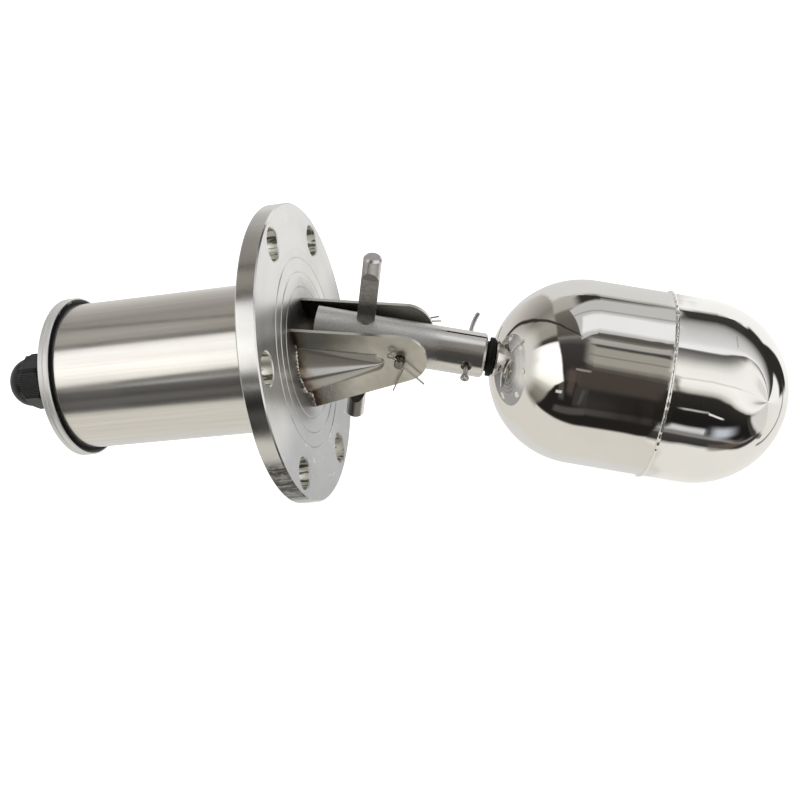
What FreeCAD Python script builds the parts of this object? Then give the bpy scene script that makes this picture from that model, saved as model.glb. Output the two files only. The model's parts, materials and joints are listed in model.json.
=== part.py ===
import FreeCAD, Part
import math
import os
import Sketcher

# Side-mounted float level switch.
#
# Frame: the origin is the middle of the mounting flange's wetted face. +X runs along the flange
# axis towards the float, +Y along the pivot pin and +Z up. The float hangs at its lower stop.
# Wet side (+X): bracket cheeks, float arm, stop rod, float. Dry side (-X): housing tube with the
# contact group inside, end cover, cable gland. One magnet in the arm and one on the switch lever
# face each other through the thin middle of the flange with like poles.

SIZES = {
    # mounting flange
    "flange_diameter": 140,
    "flange_thickness": 9,
    "flange_chamfer": 0.6,
    "bolt_circle": 119,
    "bolt_count": 6,
    "bolt_hole": 15,
    "bolt_hole_chamfer": 0.5,
    "membrane": 3.5,
    "recess_diameter": 52,
    "face_groove_count": 3,
    "face_groove_radius": 31,
    "face_groove_pitch": 6.8,
    "face_groove_width": 0.9,
    "face_groove_depth": 0.4,
    # housing tube and its joint with the flange
    "tube_diameter": 70.4,
    "tube_wall": 1.5,
    "tube_seat_depth": 1.5,
    "seat_clearance": 0.1,
    # end cover, gasket and the two studs that pull the cover on
    "housing_length": 119,
    "cover_overhang": 3.3,
    "cover_rim": 5.2,
    "cover_wall": 2,
    "cover_chamfer": 0.5,
    "cover_line_depth": 0.3,
    "boss_diameter": 33,
    "boss_length": 10,
    "gasket_thickness": 0.8,
    "gasket_lip": 2,
    "stud_diameter": 4,
    "stud_inset": 4.2,
    "stud_turn": 57,
    "stud_play": 0.5,
    "stud_nut_flats": 7,
    "stud_nut_height": 3.2,
    "stud_washer": 9,
    "washer_thickness": 1,
    "stud_tail": 1.5,
    # cable gland
    "gland_flats": 24,
    "gland_thread": 20,
    "gland_washer": 1,
    "gland_hex_height": 4,
    "gland_sleeve_length": 6,
    "gland_cap_length": 18,
    "gland_dome_length": 8,
    "gland_dome_radius": 10,
    "gland_mouth_wall": 3,
    "gland_mouth_taper": 1.5,
    "gland_mouth_play": 1,
    "gland_ledge": 1,
    "gland_mouth": 15,
    "gland_bore": 13,
    "cable_diameter": 9,
    "seal_wall": 3,
    "seal_play": 0.2,
    "thread_clearance": 0.1,
    # bracket cheeks
    "cheek_side_gap": 1.2,
    "cheek_plate": 2,
    "cheek_root": 44,
    "cheek_nose_radius": 12.3,
    "rib_root_width": 26,
    "rib_root_rise": 7.5,
    "rib_end_width": 9.5,
    "rib_end_rise": 2.6,
    "rib_stop": 12,
    "rib_wall": 1.8,
    # pivot
    "pivot_reach": 46,
    "pivot_pin": 4.5,
    "pivot_pin_tail": 4.6,
    "pin_end_chamfer": 0.4,
    "cheek_hole_play": 0.9,
    "running_clearance": 0.05,
    # float arm, modelled level from the pivot and turned down by arm_droop
    "arm_droop": 19.1,
    "arm_diameter": 20.6,
    "arm_face_gap": 5,
    "arm_outer": 38,
    "arm_edge": 1,
    "arm_slit_length": 19,
    "arm_slit_width": 1,
    "arm_slit_depth": 1.4,
    "magnet_diameter": 14,
    "magnet_length": 11,
    "magnet_cap": 3,
    "magnet_play": 1,
    "stem_hole": 5,
    "stem_hole_reach": 30,
    # stop rod through the arm
    "rod_diameter": 8.4,
    "rod_reach": 18.5,
    "rod_above": 43.5,
    "rod_below": 47,
    "rod_flat_start": 10,
    "rod_flat_end": 31.6,
    "rod_flat_run_out": 5.4,
    "rod_flat_depth": 3,
    "rod_end_chamfer": 1,
    # float and its stem
    "stem_diameter": 12,
    "stem_insert": 24,
    "stem_inside": 5,
    "collar_diameter": 18,
    "collar_neck": 14,
    "float_gap": 2,
    "collar_brim": 0.8,
    "float_diameter": 84.4,
    "float_length": 136,
    "float_wall": 1,
    "seam_shift": 8,
    "seam_lip": 0.45,
    "seam_half": 0.8,
    # split pins
    "small_wire": 1.1,
    "small_eye": 3.5,
    "small_pin_hole": 2.1,
    "small_pin_stand_off": 2.5,
    "small_pin_reach": 15.6,
    "small_pin_turn": 57,
    "near_pin_spread": 66,
    "far_pin_spread": 10,
    "far_pin_turn": -4,
    "leg_gap": 0.1,
    "stem_wire": 2.1,
    "stem_eye": 4,
    "stem_pin_hole": 2.8,
    "stem_pin_out": 32,
    "stem_pin_eye_out": 14.4,
    "stem_pin_bend_start": 14,
    "stem_pin_bend": 14,
    # contact group on the dry side
    "spacer_length": 4,
    "spacer_diameter": 8,
    "carrier_play": 0.5,
    "carrier_foot": 4,
    "carrier_wall": 3.5,
    "cup_side_gap": 1,
    "carrier_height": 18,
    "carrier_length": 55,
    "terminal_plate": 5,
    "terminal_side_gap": 0.8,
    "terminal_height": 46,
    "window_height": 36,
    "lever_reach": 37,
    "lever_droop": 10,
    "lever_face_gap": 2.5,
    "lever_rear": 28.5,
    "lever_width": 5,
    "lever_thickness": 3,
    "lever_hub": 9,
    "lever_cup": 16,
    "lever_cup_depth": 6,
    "lever_magnet": 12,
    "lever_magnet_length": 5,
    "lever_pin": 3,
    "lever_pin_tail": 1,
    "lever_root": 1,
    "lever_side_gap": 0.4,
    "bridge_place": 24,
    "bridge_width": 6,
    "bridge_edge": 1,
    "bridge_thickness": 0.6,
    "contact_diameter": 3,
    "contact_rise": 1.2,
    "contact_spacing": 10,
    "contact_gap": 0.3,
    "strip_width": 4,
    "strip_thickness": 0.8,
    "fixed_contact_rise": 0.8,
    "terminal_screw": 3,
    "terminal_screw_head": 5.6,
    "terminal_screw_rise": 2.2,
    "terminal_screw_tip": 0.3,
    "tab_lip": 1,
    "terminal_screw_height": 15,
}

HEX = 2 / math.sqrt(3)          # corner to corner over flat to flat
LEG_BEND = 1.6                  # bend radius of a split pin's leg, in wire diameters
OVERRUN = 2                     # how far a cut runs out past the solid, mm
AXIS_X = FreeCAD.Vector(1, 0, 0)
AXIS_Y = FreeCAD.Vector(0, 1, 0)
AXIS_Z = FreeCAD.Vector(0, 0, 1)
ORIGIN = FreeCAD.Vector(0, 0, 0)

doc = FreeCAD.newDocument("float_level_switch")
sheet = doc.addObject("Spreadsheet::Sheet", "Sizes")
for line, (alias, number) in enumerate(SIZES.items(), start=1):
    sheet.set(f"A{line}", alias)
    sheet.set(f"B{line}", str(number))
    sheet.setAlias(f"B{line}", alias)
doc.recompute()


# ---- sizes that carry their own formula ----------------------------------------------------

class Size:
    """A number together with the formula that gives it from the sheet."""

    def __init__(self, formula, value):
        self.formula = formula
        self.value = value

    def __add__(self, other):
        other = as_size(other)
        return Size(f"({self.formula} + {other.formula})", self.value + other.value)

    def __sub__(self, other):
        other = as_size(other)
        return Size(f"({self.formula} - {other.formula})", self.value - other.value)

    def __mul__(self, factor):
        return Size(f"({self.formula} * {factor:.12g})", self.value * factor)

    def __truediv__(self, divisor):
        return Size(f"({self.formula} / {divisor:.12g})", self.value / divisor)

    def __neg__(self):
        return Size(f"(-1 * {self.formula})", -self.value)


def as_size(number):
    return number if isinstance(number, Size) else Size(f"{number:.12g}", float(number))


class SheetSizes:
    """Reads each alias of the sheet as a Size."""

    def __getattr__(self, alias):
        return Size(f"Sizes.{alias}", float(SIZES[alias]))


d = SheetSizes()
ZERO = as_size(0)


def bind(thing, prop, size):
    thing.setExpression(prop, as_size(size).formula)


# ---- sketches ------------------------------------------------------------------------------

def new_body(label, several=False):
    body = doc.addObject("PartDesign::Body", label)
    body.Label = label
    body.AllowCompound = several
    return body


def sketch_on(body, role, height=ZERO, turn=None):
    """A sketch on one origin plane of its body, lifted along its normal and turned in its plane."""
    plane = [feature for feature in body.Origin.OriginFeatures if feature.Role == role][0]
    sketch = body.newObject("Sketcher::SketchObject", body.Name + "_sketch")
    sketch.AttachmentSupport = [(plane, "")]
    sketch.MapMode = "FlatFace"
    if height is not ZERO:
        bind(sketch, "AttachmentOffset.Base.z", height)
    if turn is not None:
        sketch.AttachmentOffset = FreeCAD.Placement(ORIGIN, AXIS_Z, turn.value)
        bind(sketch, "AttachmentOffset.Rotation.Angle", turn)
    doc.recompute()
    return sketch


def tie(sketch, kind, edge, point, size):
    """Holds one coordinate of a point at a size measured from the sketch's origin."""
    size = as_size(size)
    if abs(size.value) < 1e-9:
        axis = -2 if kind == "DistanceX" else -1
        sketch.addConstraint(Sketcher.Constraint("PointOnObject", edge, point, axis))
        return
    if size.value > 0:
        rule = Sketcher.Constraint(kind, -1, 1, edge, point, size.value)
    else:
        size = -size
        rule = Sketcher.Constraint(kind, edge, point, -1, 1, size.value)
    index = sketch.addConstraint(rule)
    sketch.setExpression(f"Constraints[{index}]", size.formula)


def arc_between(start, end, radius):
    """The short arc from start to end, to the left of the straight line if radius is negative."""
    chord = end - start
    half = chord.Length / 2
    rise = math.sqrt(max(radius * radius - half * half, 0))
    side = FreeCAD.Vector(-chord.y, chord.x, 0).normalize()
    centre = start + chord * 0.5 + side * (rise if radius > 0 else -rise)
    first, last = (start, end) if radius > 0 else (end, start)
    begin = math.atan2(first.y - centre.y, first.x - centre.x)
    finish = math.atan2(last.y - centre.y, last.x - centre.x)
    circle = Part.Circle(centre, AXIS_Z, abs(radius))
    return Part.ArcOfCircle(circle, begin, finish)


def outline(sketch, corners):
    """A closed loop. A corner is (x, y), or (x, y, radius) where an arc leads to the next one."""
    points = [FreeCAD.Vector(as_size(c[0]).value, as_size(c[1]).value, 0) for c in corners]
    count = len(corners)
    ends = []
    for i, corner in enumerate(corners):
        start = points[i]
        finish = points[(i + 1) % count]
        if len(corner) == 3:
            edge = sketch.addGeometry(arc_between(start, finish, as_size(corner[2]).value))
            ends.append((edge, 1, 2) if as_size(corner[2]).value > 0 else (edge, 2, 1))
        else:
            edge = sketch.addGeometry(Part.LineSegment(start, finish))
            ends.append((edge, 1, 2))
    for i, corner in enumerate(corners):
        edge, start, finish = ends[i]
        following, next_start = ends[(i + 1) % count][:2]
        sketch.addConstraint(Sketcher.Constraint("Coincident", edge, finish, following, next_start))
        tie(sketch, "DistanceX", edge, start, corner[0])
        tie(sketch, "DistanceY", edge, start, corner[1])
        if len(corner) == 3:
            radius = as_size(corner[2])
            radius = radius if radius.value > 0 else -radius
            index = sketch.addConstraint(Sketcher.Constraint("Radius", edge, radius.value))
            sketch.setExpression(f"Constraints[{index}]", radius.formula)


def circle(sketch, x, y, diameter):
    x, y, diameter = as_size(x), as_size(y), as_size(diameter)
    centre = FreeCAD.Vector(x.value, y.value, 0)
    edge = sketch.addGeometry(Part.Circle(centre, AXIS_Z, diameter.value / 2))
    index = sketch.addConstraint(Sketcher.Constraint("Diameter", edge, diameter.value))
    sketch.setExpression(f"Constraints[{index}]", diameter.formula)
    tie(sketch, "DistanceX", edge, 3, x)
    tie(sketch, "DistanceY", edge, 3, y)


def rectangle(sketch, left, right, low, high):
    outline(sketch, [(left, low), (right, low), (right, high), (left, high)])


def hexagon(sketch, x, y, flats):
    """A hexagon with two of its flats level."""
    x, y = as_size(x), as_size(y)
    corner = flats * (HEX / 2)
    outline(sketch, [
        (x + corner, y), (x + corner / 2, y + flats / 2), (x - corner / 2, y + flats / 2),
        (x - corner, y), (x - corner / 2, y - flats / 2), (x + corner / 2, y - flats / 2)])


# ---- features ------------------------------------------------------------------------------

def settle(body, feature):
    """Recomputes and checks that the newest feature is sound."""
    body.Tip = feature
    doc.recompute()
    if "Invalid" in feature.State or "Error" in feature.State or feature.Shape.isNull():
        raise RuntimeError(f"{body.Label}: {feature.Name} failed")
    return feature


def revolve(body, sketch, axis="H_Axis"):
    feature = body.newObject("PartDesign::Revolution", body.Name + "_turned")
    feature.Profile = sketch
    feature.ReferenceAxis = (sketch, [axis])
    feature.Angle = 360
    sketch.Visibility = False
    return settle(body, feature)


def groove(body, sketch, axis="H_Axis"):
    before = body.Shape.Volume
    feature = body.newObject("PartDesign::Groove", body.Name + "_groove")
    feature.Profile = sketch
    feature.ReferenceAxis = (sketch, [axis])
    feature.Angle = 360
    settle(body, feature)
    return must_cut(body, feature, before)


def pad(body, sketch, length, midplane=False, flip=False):
    feature = body.newObject("PartDesign::Pad", body.Name + "_pad")
    feature.Profile = sketch
    bind(feature, "Length", length)
    feature.Midplane = midplane
    feature.Reversed = flip
    return settle(body, feature)


def pocket(body, sketch, depth=None, midplane=False, flip=False):
    """Cuts to a depth, or right through both ways where no depth is given."""
    before = body.Shape.Volume
    feature = body.newObject("PartDesign::Pocket", body.Name + "_pocket")
    feature.Profile = sketch
    if depth is None:
        feature.Type = "ThroughAll"
        feature.Midplane = True
    else:
        bind(feature, "Length", depth)
        feature.Midplane = midplane
        feature.Reversed = flip
    settle(body, feature)
    return must_cut(body, feature, before)


def must_cut(body, feature, before):
    if body.Shape.Volume > before - 1e-3:
        raise RuntimeError(f"{body.Label}: {feature.Name} cuts nothing")
    return feature


def polar(body, feature, count):
    """Repeats a feature round the X axis."""
    pattern = body.newObject("PartDesign::PolarPattern", body.Name + "_ring")
    pattern.Originals = [feature]
    axis = [item for item in body.Origin.OriginFeatures if item.Role == "X_Axis"][0]
    pattern.Axis = (axis, [""])
    pattern.Angle = 360
    bind(pattern, "Occurrences", count)
    return settle(body, pattern)


def edges_where(shape, test):
    return [f"Edge{i}" for i, edge in enumerate(shape.Edges, start=1) if test(edge)]


def is_ring(edge, diameter):
    """True for a circular edge of one diameter."""
    if not isinstance(edge.Curve, Part.Circle):
        return False
    return abs(edge.Curve.Radius - as_size(diameter).value / 2) < 1e-4


def chamfer(body, test, size):
    base = body.Tip
    feature = body.newObject("PartDesign::Chamfer", body.Name + "_chamfer")
    feature.Base = (base, edges_where(base.Shape, test))
    bind(feature, "Size", size)
    return settle(body, feature)


def turned(label, corners):
    """A body turned about the X axis from a profile of (x, radius) corners."""
    body = new_body(label)
    sketch = sketch_on(body, "XZ_Plane")
    outline(sketch, corners)
    revolve(body, sketch)
    return body


def place(thing, x=ZERO, y=ZERO, z=ZERO, axis=AXIS_Z, angle=ZERO):
    """Sets a placement and ties each part of it that isn't zero to the sheet."""
    x, y, z, angle = as_size(x), as_size(y), as_size(z), as_size(angle)
    base = FreeCAD.Vector(x.value, y.value, z.value)
    thing.Placement = FreeCAD.Placement(base, FreeCAD.Rotation(axis, angle.value))
    for name, size in (("Base.x", x), ("Base.y", y), ("Base.z", z), ("Rotation.Angle", angle)):
        if size.value:
            bind(thing, "Placement." + name, size)


def on_arm(thing):
    """Carries a piece drawn level from the pivot to the drooping arm."""
    place(thing, x=d.pivot_reach, axis=AXIS_Y, angle=d.arm_droop)


def on_lever(thing):
    """Carries a piece drawn level from the lever's pin to the tilted lever."""
    place(thing, x=-d.lever_reach, axis=AXIS_Y, angle=d.lever_droop)


def mirrored(label, source, normal):
    mirror = doc.addObject("Part::Mirroring", label)
    mirror.Label = label
    mirror.Source = source
    mirror.Normal = normal
    doc.recompute()
    return mirror


# ---- places along the flange axis that several pieces share ---------------------------------

back = -d.flange_thickness
tube_radius = d.tube_diameter / 2
tube_bore = tube_radius - d.tube_wall
cover_radius = tube_radius + d.cover_overhang
cover_face = -d.housing_length
cover_inner = cover_face + d.cover_rim
gasket_inner = cover_inner + d.gasket_thickness
boss_face = cover_face - d.boss_length
gland_seat = boss_face - d.gland_washer
gland_shoulder = gland_seat - d.gland_hex_height
gland_end = gland_shoulder - d.gland_cap_length
stud_radius = tube_bore - d.stud_inset
seal_diameter = d.cable_diameter + d.seal_wall * 2
arm_radius = d.arm_diameter / 2
arm_inner = d.pivot_reach - d.arm_face_gap
cheek_inner = arm_radius + d.cheek_side_gap
cheek_outer = cheek_inner + d.cheek_plate
small_pin_place = cheek_outer + d.small_pin_stand_off
carrier_gap = d.lever_cup + d.cup_side_gap * 2
lever_front = d.lever_reach - d.membrane - d.lever_face_gap


# ---- housing: flange, tube, cover -----------------------------------------------------------

def mounting_flange():
    radius = d.flange_diameter / 2
    seat_out = tube_radius + d.seat_clearance
    seat_in = tube_bore - d.seat_clearance
    seat_bottom = back + d.tube_seat_depth
    corners = [(-d.membrane, ZERO), (ZERO, ZERO)]
    for ring in range(SIZES["face_groove_count"]):
        middle = d.face_groove_radius + d.face_groove_pitch * ring
        half = d.face_groove_width / 2
        corners += [(ZERO, middle - half), (-d.face_groove_depth, middle), (ZERO, middle + half)]
    corners += [
        (ZERO, radius - d.flange_chamfer), (-d.flange_chamfer, radius),
        (back + d.flange_chamfer, radius), (back, radius - d.flange_chamfer),
        (back, seat_out), (seat_bottom, seat_out), (seat_bottom, seat_in), (back, seat_in),
        (back, d.recess_diameter / 2), (-d.membrane, d.recess_diameter / 2)]
    body = turned("mounting_flange", corners)
    hole = sketch_on(body, "YZ_Plane")
    circle(hole, ZERO, d.bolt_circle / 2, d.bolt_hole)
    polar(body, pocket(body, hole), d.bolt_count)
    chamfer(body, lambda edge: is_ring(edge, d.bolt_hole) and edge.Curve.Center.x == 0,
            d.bolt_hole_chamfer)
    return body


def housing_tube():
    front = back + d.tube_seat_depth
    return turned("housing_tube", [
        (gasket_inner, tube_bore), (front, tube_bore),
        (front, tube_radius), (gasket_inner, tube_radius)])


def end_cover():
    """A shallow turned cover with a boss for the gland on its outer face."""
    radius = cover_radius
    soft = d.cover_chamfer
    inside = cover_face + d.cover_wall
    line = cover_face + d.cover_rim / 2
    boss = d.boss_diameter / 2
    bore = d.gland_thread / 2
    pocket_radius = tube_bore - d.seat_clearance
    body = turned("end_cover", [
        (boss_face, bore), (inside, bore), (inside, pocket_radius), (cover_inner, pocket_radius),
        (cover_inner, radius - soft), (cover_inner - soft, radius),
        (line + d.cover_line_depth, radius), (line, radius - d.cover_line_depth),
        (line - d.cover_line_depth, radius), (cover_face + soft, radius),
        (cover_face, radius - soft), (cover_face, boss),
        (boss_face + soft, boss), (boss_face, boss - soft)])
    holes = sketch_on(body, "YZ_Plane", turn=d.stud_turn)
    for side in (1, -1):
        circle(holes, stud_radius * side, ZERO, d.stud_diameter + d.stud_play)
    pocket(body, holes)
    return body


def cover_gasket():
    """The black ring between the cover and the end of the tube."""
    outer = cover_radius - d.gasket_lip
    return turned("cover_gasket", [
        (cover_inner, tube_bore), (gasket_inner, tube_bore),
        (gasket_inner, outer), (cover_inner, outer)])


def on_studs(label, start, length, outer, bore=None, flats=False):
    """One piece on each of the two studs, running from start towards the cover."""
    body = new_body(label, several=True)
    sketch = sketch_on(body, "YZ_Plane", height=start, turn=d.stud_turn)
    for side in (1, -1):
        if flats:
            hexagon(sketch, stud_radius * side, ZERO, outer)
        else:
            circle(sketch, stud_radius * side, ZERO, outer)
        if bore is not None:
            circle(sketch, stud_radius * side, ZERO, bore)
    pad(body, sketch, length, flip=True)
    return body


def stud_set():
    washer_bore = d.stud_diameter + d.stud_play
    nut_bore = d.stud_diameter + d.thread_clearance
    reach = d.washer_thickness + d.stud_nut_height + d.stud_tail
    on_studs("tie_studs", back, -cover_face + back + reach, d.stud_diameter)
    on_studs("cover_washers", cover_face, d.washer_thickness, d.stud_washer, washer_bore)
    on_studs("cover_nuts", cover_face - d.washer_thickness, d.stud_nut_height,
             d.stud_nut_flats, nut_bore, flats=True)
    on_studs("carrier_spacers", back, d.spacer_length, d.spacer_diameter, washer_bore)
    on_studs("carrier_nuts", back - d.spacer_length - d.carrier_foot, d.stud_nut_height,
             d.stud_nut_flats, nut_bore, flats=True)


# ---- cable gland ----------------------------------------------------------------------------

def gland_body():
    """Threaded stub, hexagon and the sleeve that carries the cap and the seal."""
    thread = d.gland_thread / 2 - d.thread_clearance
    seat = seal_diameter / 2 + d.thread_clearance
    sleeve = gland_shoulder - d.gland_sleeve_length
    seal_floor = gland_shoulder + d.gland_ledge
    thread_end = cover_face + d.cover_wall
    bore = d.gland_bore / 2
    body = turned("gland_body", [
        (sleeve, seat), (seal_floor, seat), (seal_floor, bore),
        (thread_end, bore), (thread_end, thread), (sleeve, thread)])
    hexagonal = sketch_on(body, "YZ_Plane", height=gland_seat)
    hexagon(hexagonal, ZERO, ZERO, d.gland_flats)
    circle(hexagonal, ZERO, ZERO, seal_diameter + d.thread_clearance * 4)
    pad(body, hexagonal, d.gland_hex_height, flip=True)
    return body


def gland_cap():
    """A hexagonal cap nut whose corners are turned off towards a round dome."""
    flat = d.gland_flats / 2
    corner = flat * HEX
    start = gland_shoulder - d.thread_clearance
    dome = gland_end + d.gland_dome_length
    ease = corner - flat
    beyond = corner + OVERRUN
    outside = gland_end - OVERRUN
    inner = d.gland_thread / 2 + d.thread_clearance
    seal = seal_diameter / 2 + d.thread_clearance
    mouth = d.gland_mouth / 2
    way_out = d.cable_diameter / 2 + d.gland_mouth_play
    body = new_body("gland_cap")
    prism = sketch_on(body, "YZ_Plane", height=start)
    hexagon(prism, ZERO, ZERO, d.gland_flats)
    pad(body, prism, start - gland_end, flip=True)
    envelope = sketch_on(body, "XZ_Plane")
    outline(envelope, [
        (start + OVERRUN, flat), (start + OVERRUN, beyond), (outside, beyond), (outside, mouth),
        (gland_end, mouth, -d.gland_dome_radius), (dome, flat), (dome + ease, corner),
        (start - ease, corner), (start, flat)])
    groove(body, envelope)
    hollow = sketch_on(body, "XZ_Plane")
    shelf = gland_shoulder - d.gland_sleeve_length - d.gland_ledge
    outline(hollow, [
        (start + OVERRUN, ZERO), (start + OVERRUN, inner), (shelf, inner),
        (shelf - d.gland_mouth_taper, seal), (gland_end + d.gland_mouth_wall, seal),
        (gland_end + d.gland_mouth_taper, way_out), (outside, way_out), (outside, ZERO)])
    groove(body, hollow)
    return body


def gland_seal():
    front = gland_end + d.gland_mouth_wall + d.seal_play
    rear = gland_shoulder + d.gland_ledge - d.seal_play
    return turned("gland_seal", [
        (front, d.cable_diameter / 2), (rear, d.cable_diameter / 2),
        (rear, seal_diameter / 2), (front, seal_diameter / 2)])


def gland_washer():
    return turned("gland_washer", [
        (gland_seat, d.gland_thread / 2), (boss_face, d.gland_thread / 2),
        (boss_face, d.gland_flats / 2), (gland_seat, d.gland_flats / 2)])


# ---- bracket --------------------------------------------------------------------------------

def left_cheek():
    """A pressed plate with a hollow half-cone rib, which grows from the nose to the flange."""
    outer = -cheek_outer
    rib_length = d.pivot_reach - d.rib_stop
    body = new_body("left_cheek")

    def chord_circle(sketch, width, rise, shrink):
        """The circle of a rib section: its arc rises by rise over a chord of width."""
        half = width.value / 2
        radius = (half * half + rise.value * rise.value) / (2 * rise.value)
        inward = Size(f"({width.formula}^2 / (8 * {rise.formula}) - {rise.formula} / 2)",
                      radius - rise.value)
        round_size = Size(f"({width.formula}^2 / (8 * {rise.formula}) + {rise.formula} / 2)", radius)
        circle(sketch, outer + inward, ZERO, (round_size - shrink) * 2)
        return outer + inward, round_size - shrink

    def rib(kind, ball, shrink):
        root = sketch_on(body, "YZ_Plane")
        chord_circle(root, d.rib_root_width, d.rib_root_rise, shrink)
        tip = sketch_on(body, "YZ_Plane", height=rib_length)
        middle, radius = chord_circle(tip, d.rib_end_width, d.rib_end_rise, shrink)
        loft = body.newObject("PartDesign::" + kind, "rib_loft")
        loft.Profile = root
        loft.Sections = [tip]
        loft.Ruled = True
        settle(body, loft)
        nose = body.newObject("PartDesign::" + ball, "rib_nose")
        bind(nose, "Radius", radius)
        nose.Placement = FreeCAD.Placement(
            FreeCAD.Vector(rib_length.value, middle.value, 0), FreeCAD.Rotation())
        bind(nose, "Placement.Base.x", rib_length)
        bind(nose, "Placement.Base.y", middle)
        return settle(body, nose)

    rib("AdditiveLoft", "AdditiveSphere", ZERO)
    trim = sketch_on(body, "XY_Plane")
    far = d.pivot_reach * 2
    rectangle(trim, -far, far, outer + d.cheek_plate / 2, far)
    pocket(body, trim)
    plate = sketch_on(body, "XZ_Plane", height=cheek_inner)
    lean = (d.cheek_root.value / 2 - d.cheek_nose_radius.value) / d.pivot_reach.value
    swing = math.asin(lean * math.cos(math.atan(lean)))
    touch_x = d.pivot_reach + d.cheek_nose_radius * math.sin(swing)
    touch_z = d.cheek_nose_radius * math.cos(swing)
    end_x = d.pivot_reach + d.cheek_nose_radius
    outline(plate, [
        (ZERO, -d.cheek_root / 2), (touch_x, -touch_z, d.cheek_nose_radius),
        (end_x, ZERO, d.cheek_nose_radius), (touch_x, touch_z), (ZERO, d.cheek_root / 2)])
    pad(body, plate, d.cheek_plate)
    rib("SubtractiveLoft", "SubtractiveSphere", d.rib_wall)
    bore = sketch_on(body, "XZ_Plane")
    circle(bore, d.pivot_reach, ZERO, d.pivot_pin + d.cheek_hole_play)
    pocket(body, bore)
    return body


def pivot_pin():
    """A plain pin with a cross hole near each end: the near one slanted, the far one level."""
    body = new_body("pivot_pin")
    sketch = sketch_on(body, "XZ_Plane")
    circle(sketch, ZERO, ZERO, d.pivot_pin)
    pad(body, sketch, (cheek_outer + d.pivot_pin_tail) * 2, midplane=True)
    chamfer(body, lambda edge: is_ring(edge, d.pivot_pin), d.pin_end_chamfer)
    far_hole = sketch_on(body, "YZ_Plane")
    circle(far_hole, small_pin_place, ZERO, d.small_pin_hole)
    pocket(body, far_hole)
    near_hole = sketch_on(body, "YZ_Plane")
    near_hole.AttachmentOffset = FreeCAD.Placement(ORIGIN, AXIS_X, d.small_pin_turn.value)
    bind(near_hole, "AttachmentOffset.Rotation.Angle", d.small_pin_turn)
    circle(near_hole, -small_pin_place, ZERO, d.small_pin_hole)
    pocket(body, near_hole)
    place(body, x=d.pivot_reach)
    return body


def split_pin(label, wire, eye, leg_start, leg_end, spread=0, bend=0):
    """A half-round wire bent to an eye at -X and two legs along +X in the XZ plane, with the flat
    sides together. With spread, the lower leg turns down by so many degrees at leg_start. With
    bend, the ends of both legs swing towards +Z. The shank is drawn through the origin."""
    w = wire.value
    half = d.leg_gap.value / 2
    ring = (eye.value - w) / 2
    blend = w
    neck = math.sqrt((ring + blend) ** 2 - (half + blend) ** 2)
    eye_x = -(leg_start.value + neck + w)
    slope = math.atan2(half + blend, neck)
    touch = FreeCAD.Vector(eye_x + ring * math.cos(slope), 0, ring * math.sin(slope))
    lead = FreeCAD.Vector(eye_x + neck, 0, half)
    small = FreeCAD.Vector(eye_x + neck, 0, half + blend)
    turn = (math.pi / 2 + slope) / 2 + math.pi
    inner = small + FreeCAD.Vector(math.cos(turn), 0, math.sin(turn)) * blend

    def low(point):
        return FreeCAD.Vector(point.x, 0, -point.z)

    def swing(corner, radius, angle, side):
        """The middle and the end of an arc that leaves a corner along +X and turns to one side."""
        centre = corner + AXIS_Z * radius * side
        return [centre + FreeCAD.Vector(math.sin(part), 0, -math.cos(part) * side) * radius
                for part in (angle / 2, angle)]

    eye_loop = [
        Part.Arc(lead, inner, touch).toShape(),
        Part.Arc(touch, FreeCAD.Vector(eye_x - ring, 0, 0), low(touch)).toShape(),
        Part.Arc(low(touch), low(inner), low(lead)).toShape()]
    tip = FreeCAD.Vector(leg_end.value, 0, half)
    if bend:
        angle = math.radians(bend.value)
        radius = (leg_end.value - d.stem_pin_bend_start.value) / angle
        corner = FreeCAD.Vector(d.stem_pin_bend_start.value, 0, half)
        middle, tip = swing(corner, radius - half, angle, 1)
        first = [Part.Arc(tip, middle, corner).toShape(),
                 Part.LineSegment(corner, lead).toShape()]
        middle, end = swing(low(corner), radius + half, angle, 1)
        last = [Part.LineSegment(low(lead), low(corner)).toShape(),
                Part.Arc(low(corner), middle, end).toShape()]
        outward = FreeCAD.Vector(-math.sin(angle), 0, math.cos(angle))
    else:
        first = [Part.LineSegment(tip, lead).toShape()]
        corner = FreeCAD.Vector(leg_start.value, 0, -half)
        angle = math.radians(spread.value)
        middle, end = swing(corner, w * LEG_BEND, angle, -1)
        run = FreeCAD.Vector(math.cos(angle), 0, -math.sin(angle))
        length = leg_end.value - leg_start.value
        last = [Part.LineSegment(low(lead), corner).toShape(),
                Part.Arc(corner, middle, end).toShape(),
                Part.LineSegment(end, end + run * length).toShape()]
        outward = AXIS_Z
    path = Part.Wire(first + eye_loop + last)
    side = AXIS_Y * (w / 2)
    section = Part.Face(Part.Wire([
        Part.Arc(tip - side, tip + outward * (w / 2), tip + side).toShape(),
        Part.LineSegment(tip + side, tip - side).toShape()]))
    pin = doc.addObject("Part::Feature", label)
    pin.Label = label
    pin.Shape = path.makePipe(section)
    return pin


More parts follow.
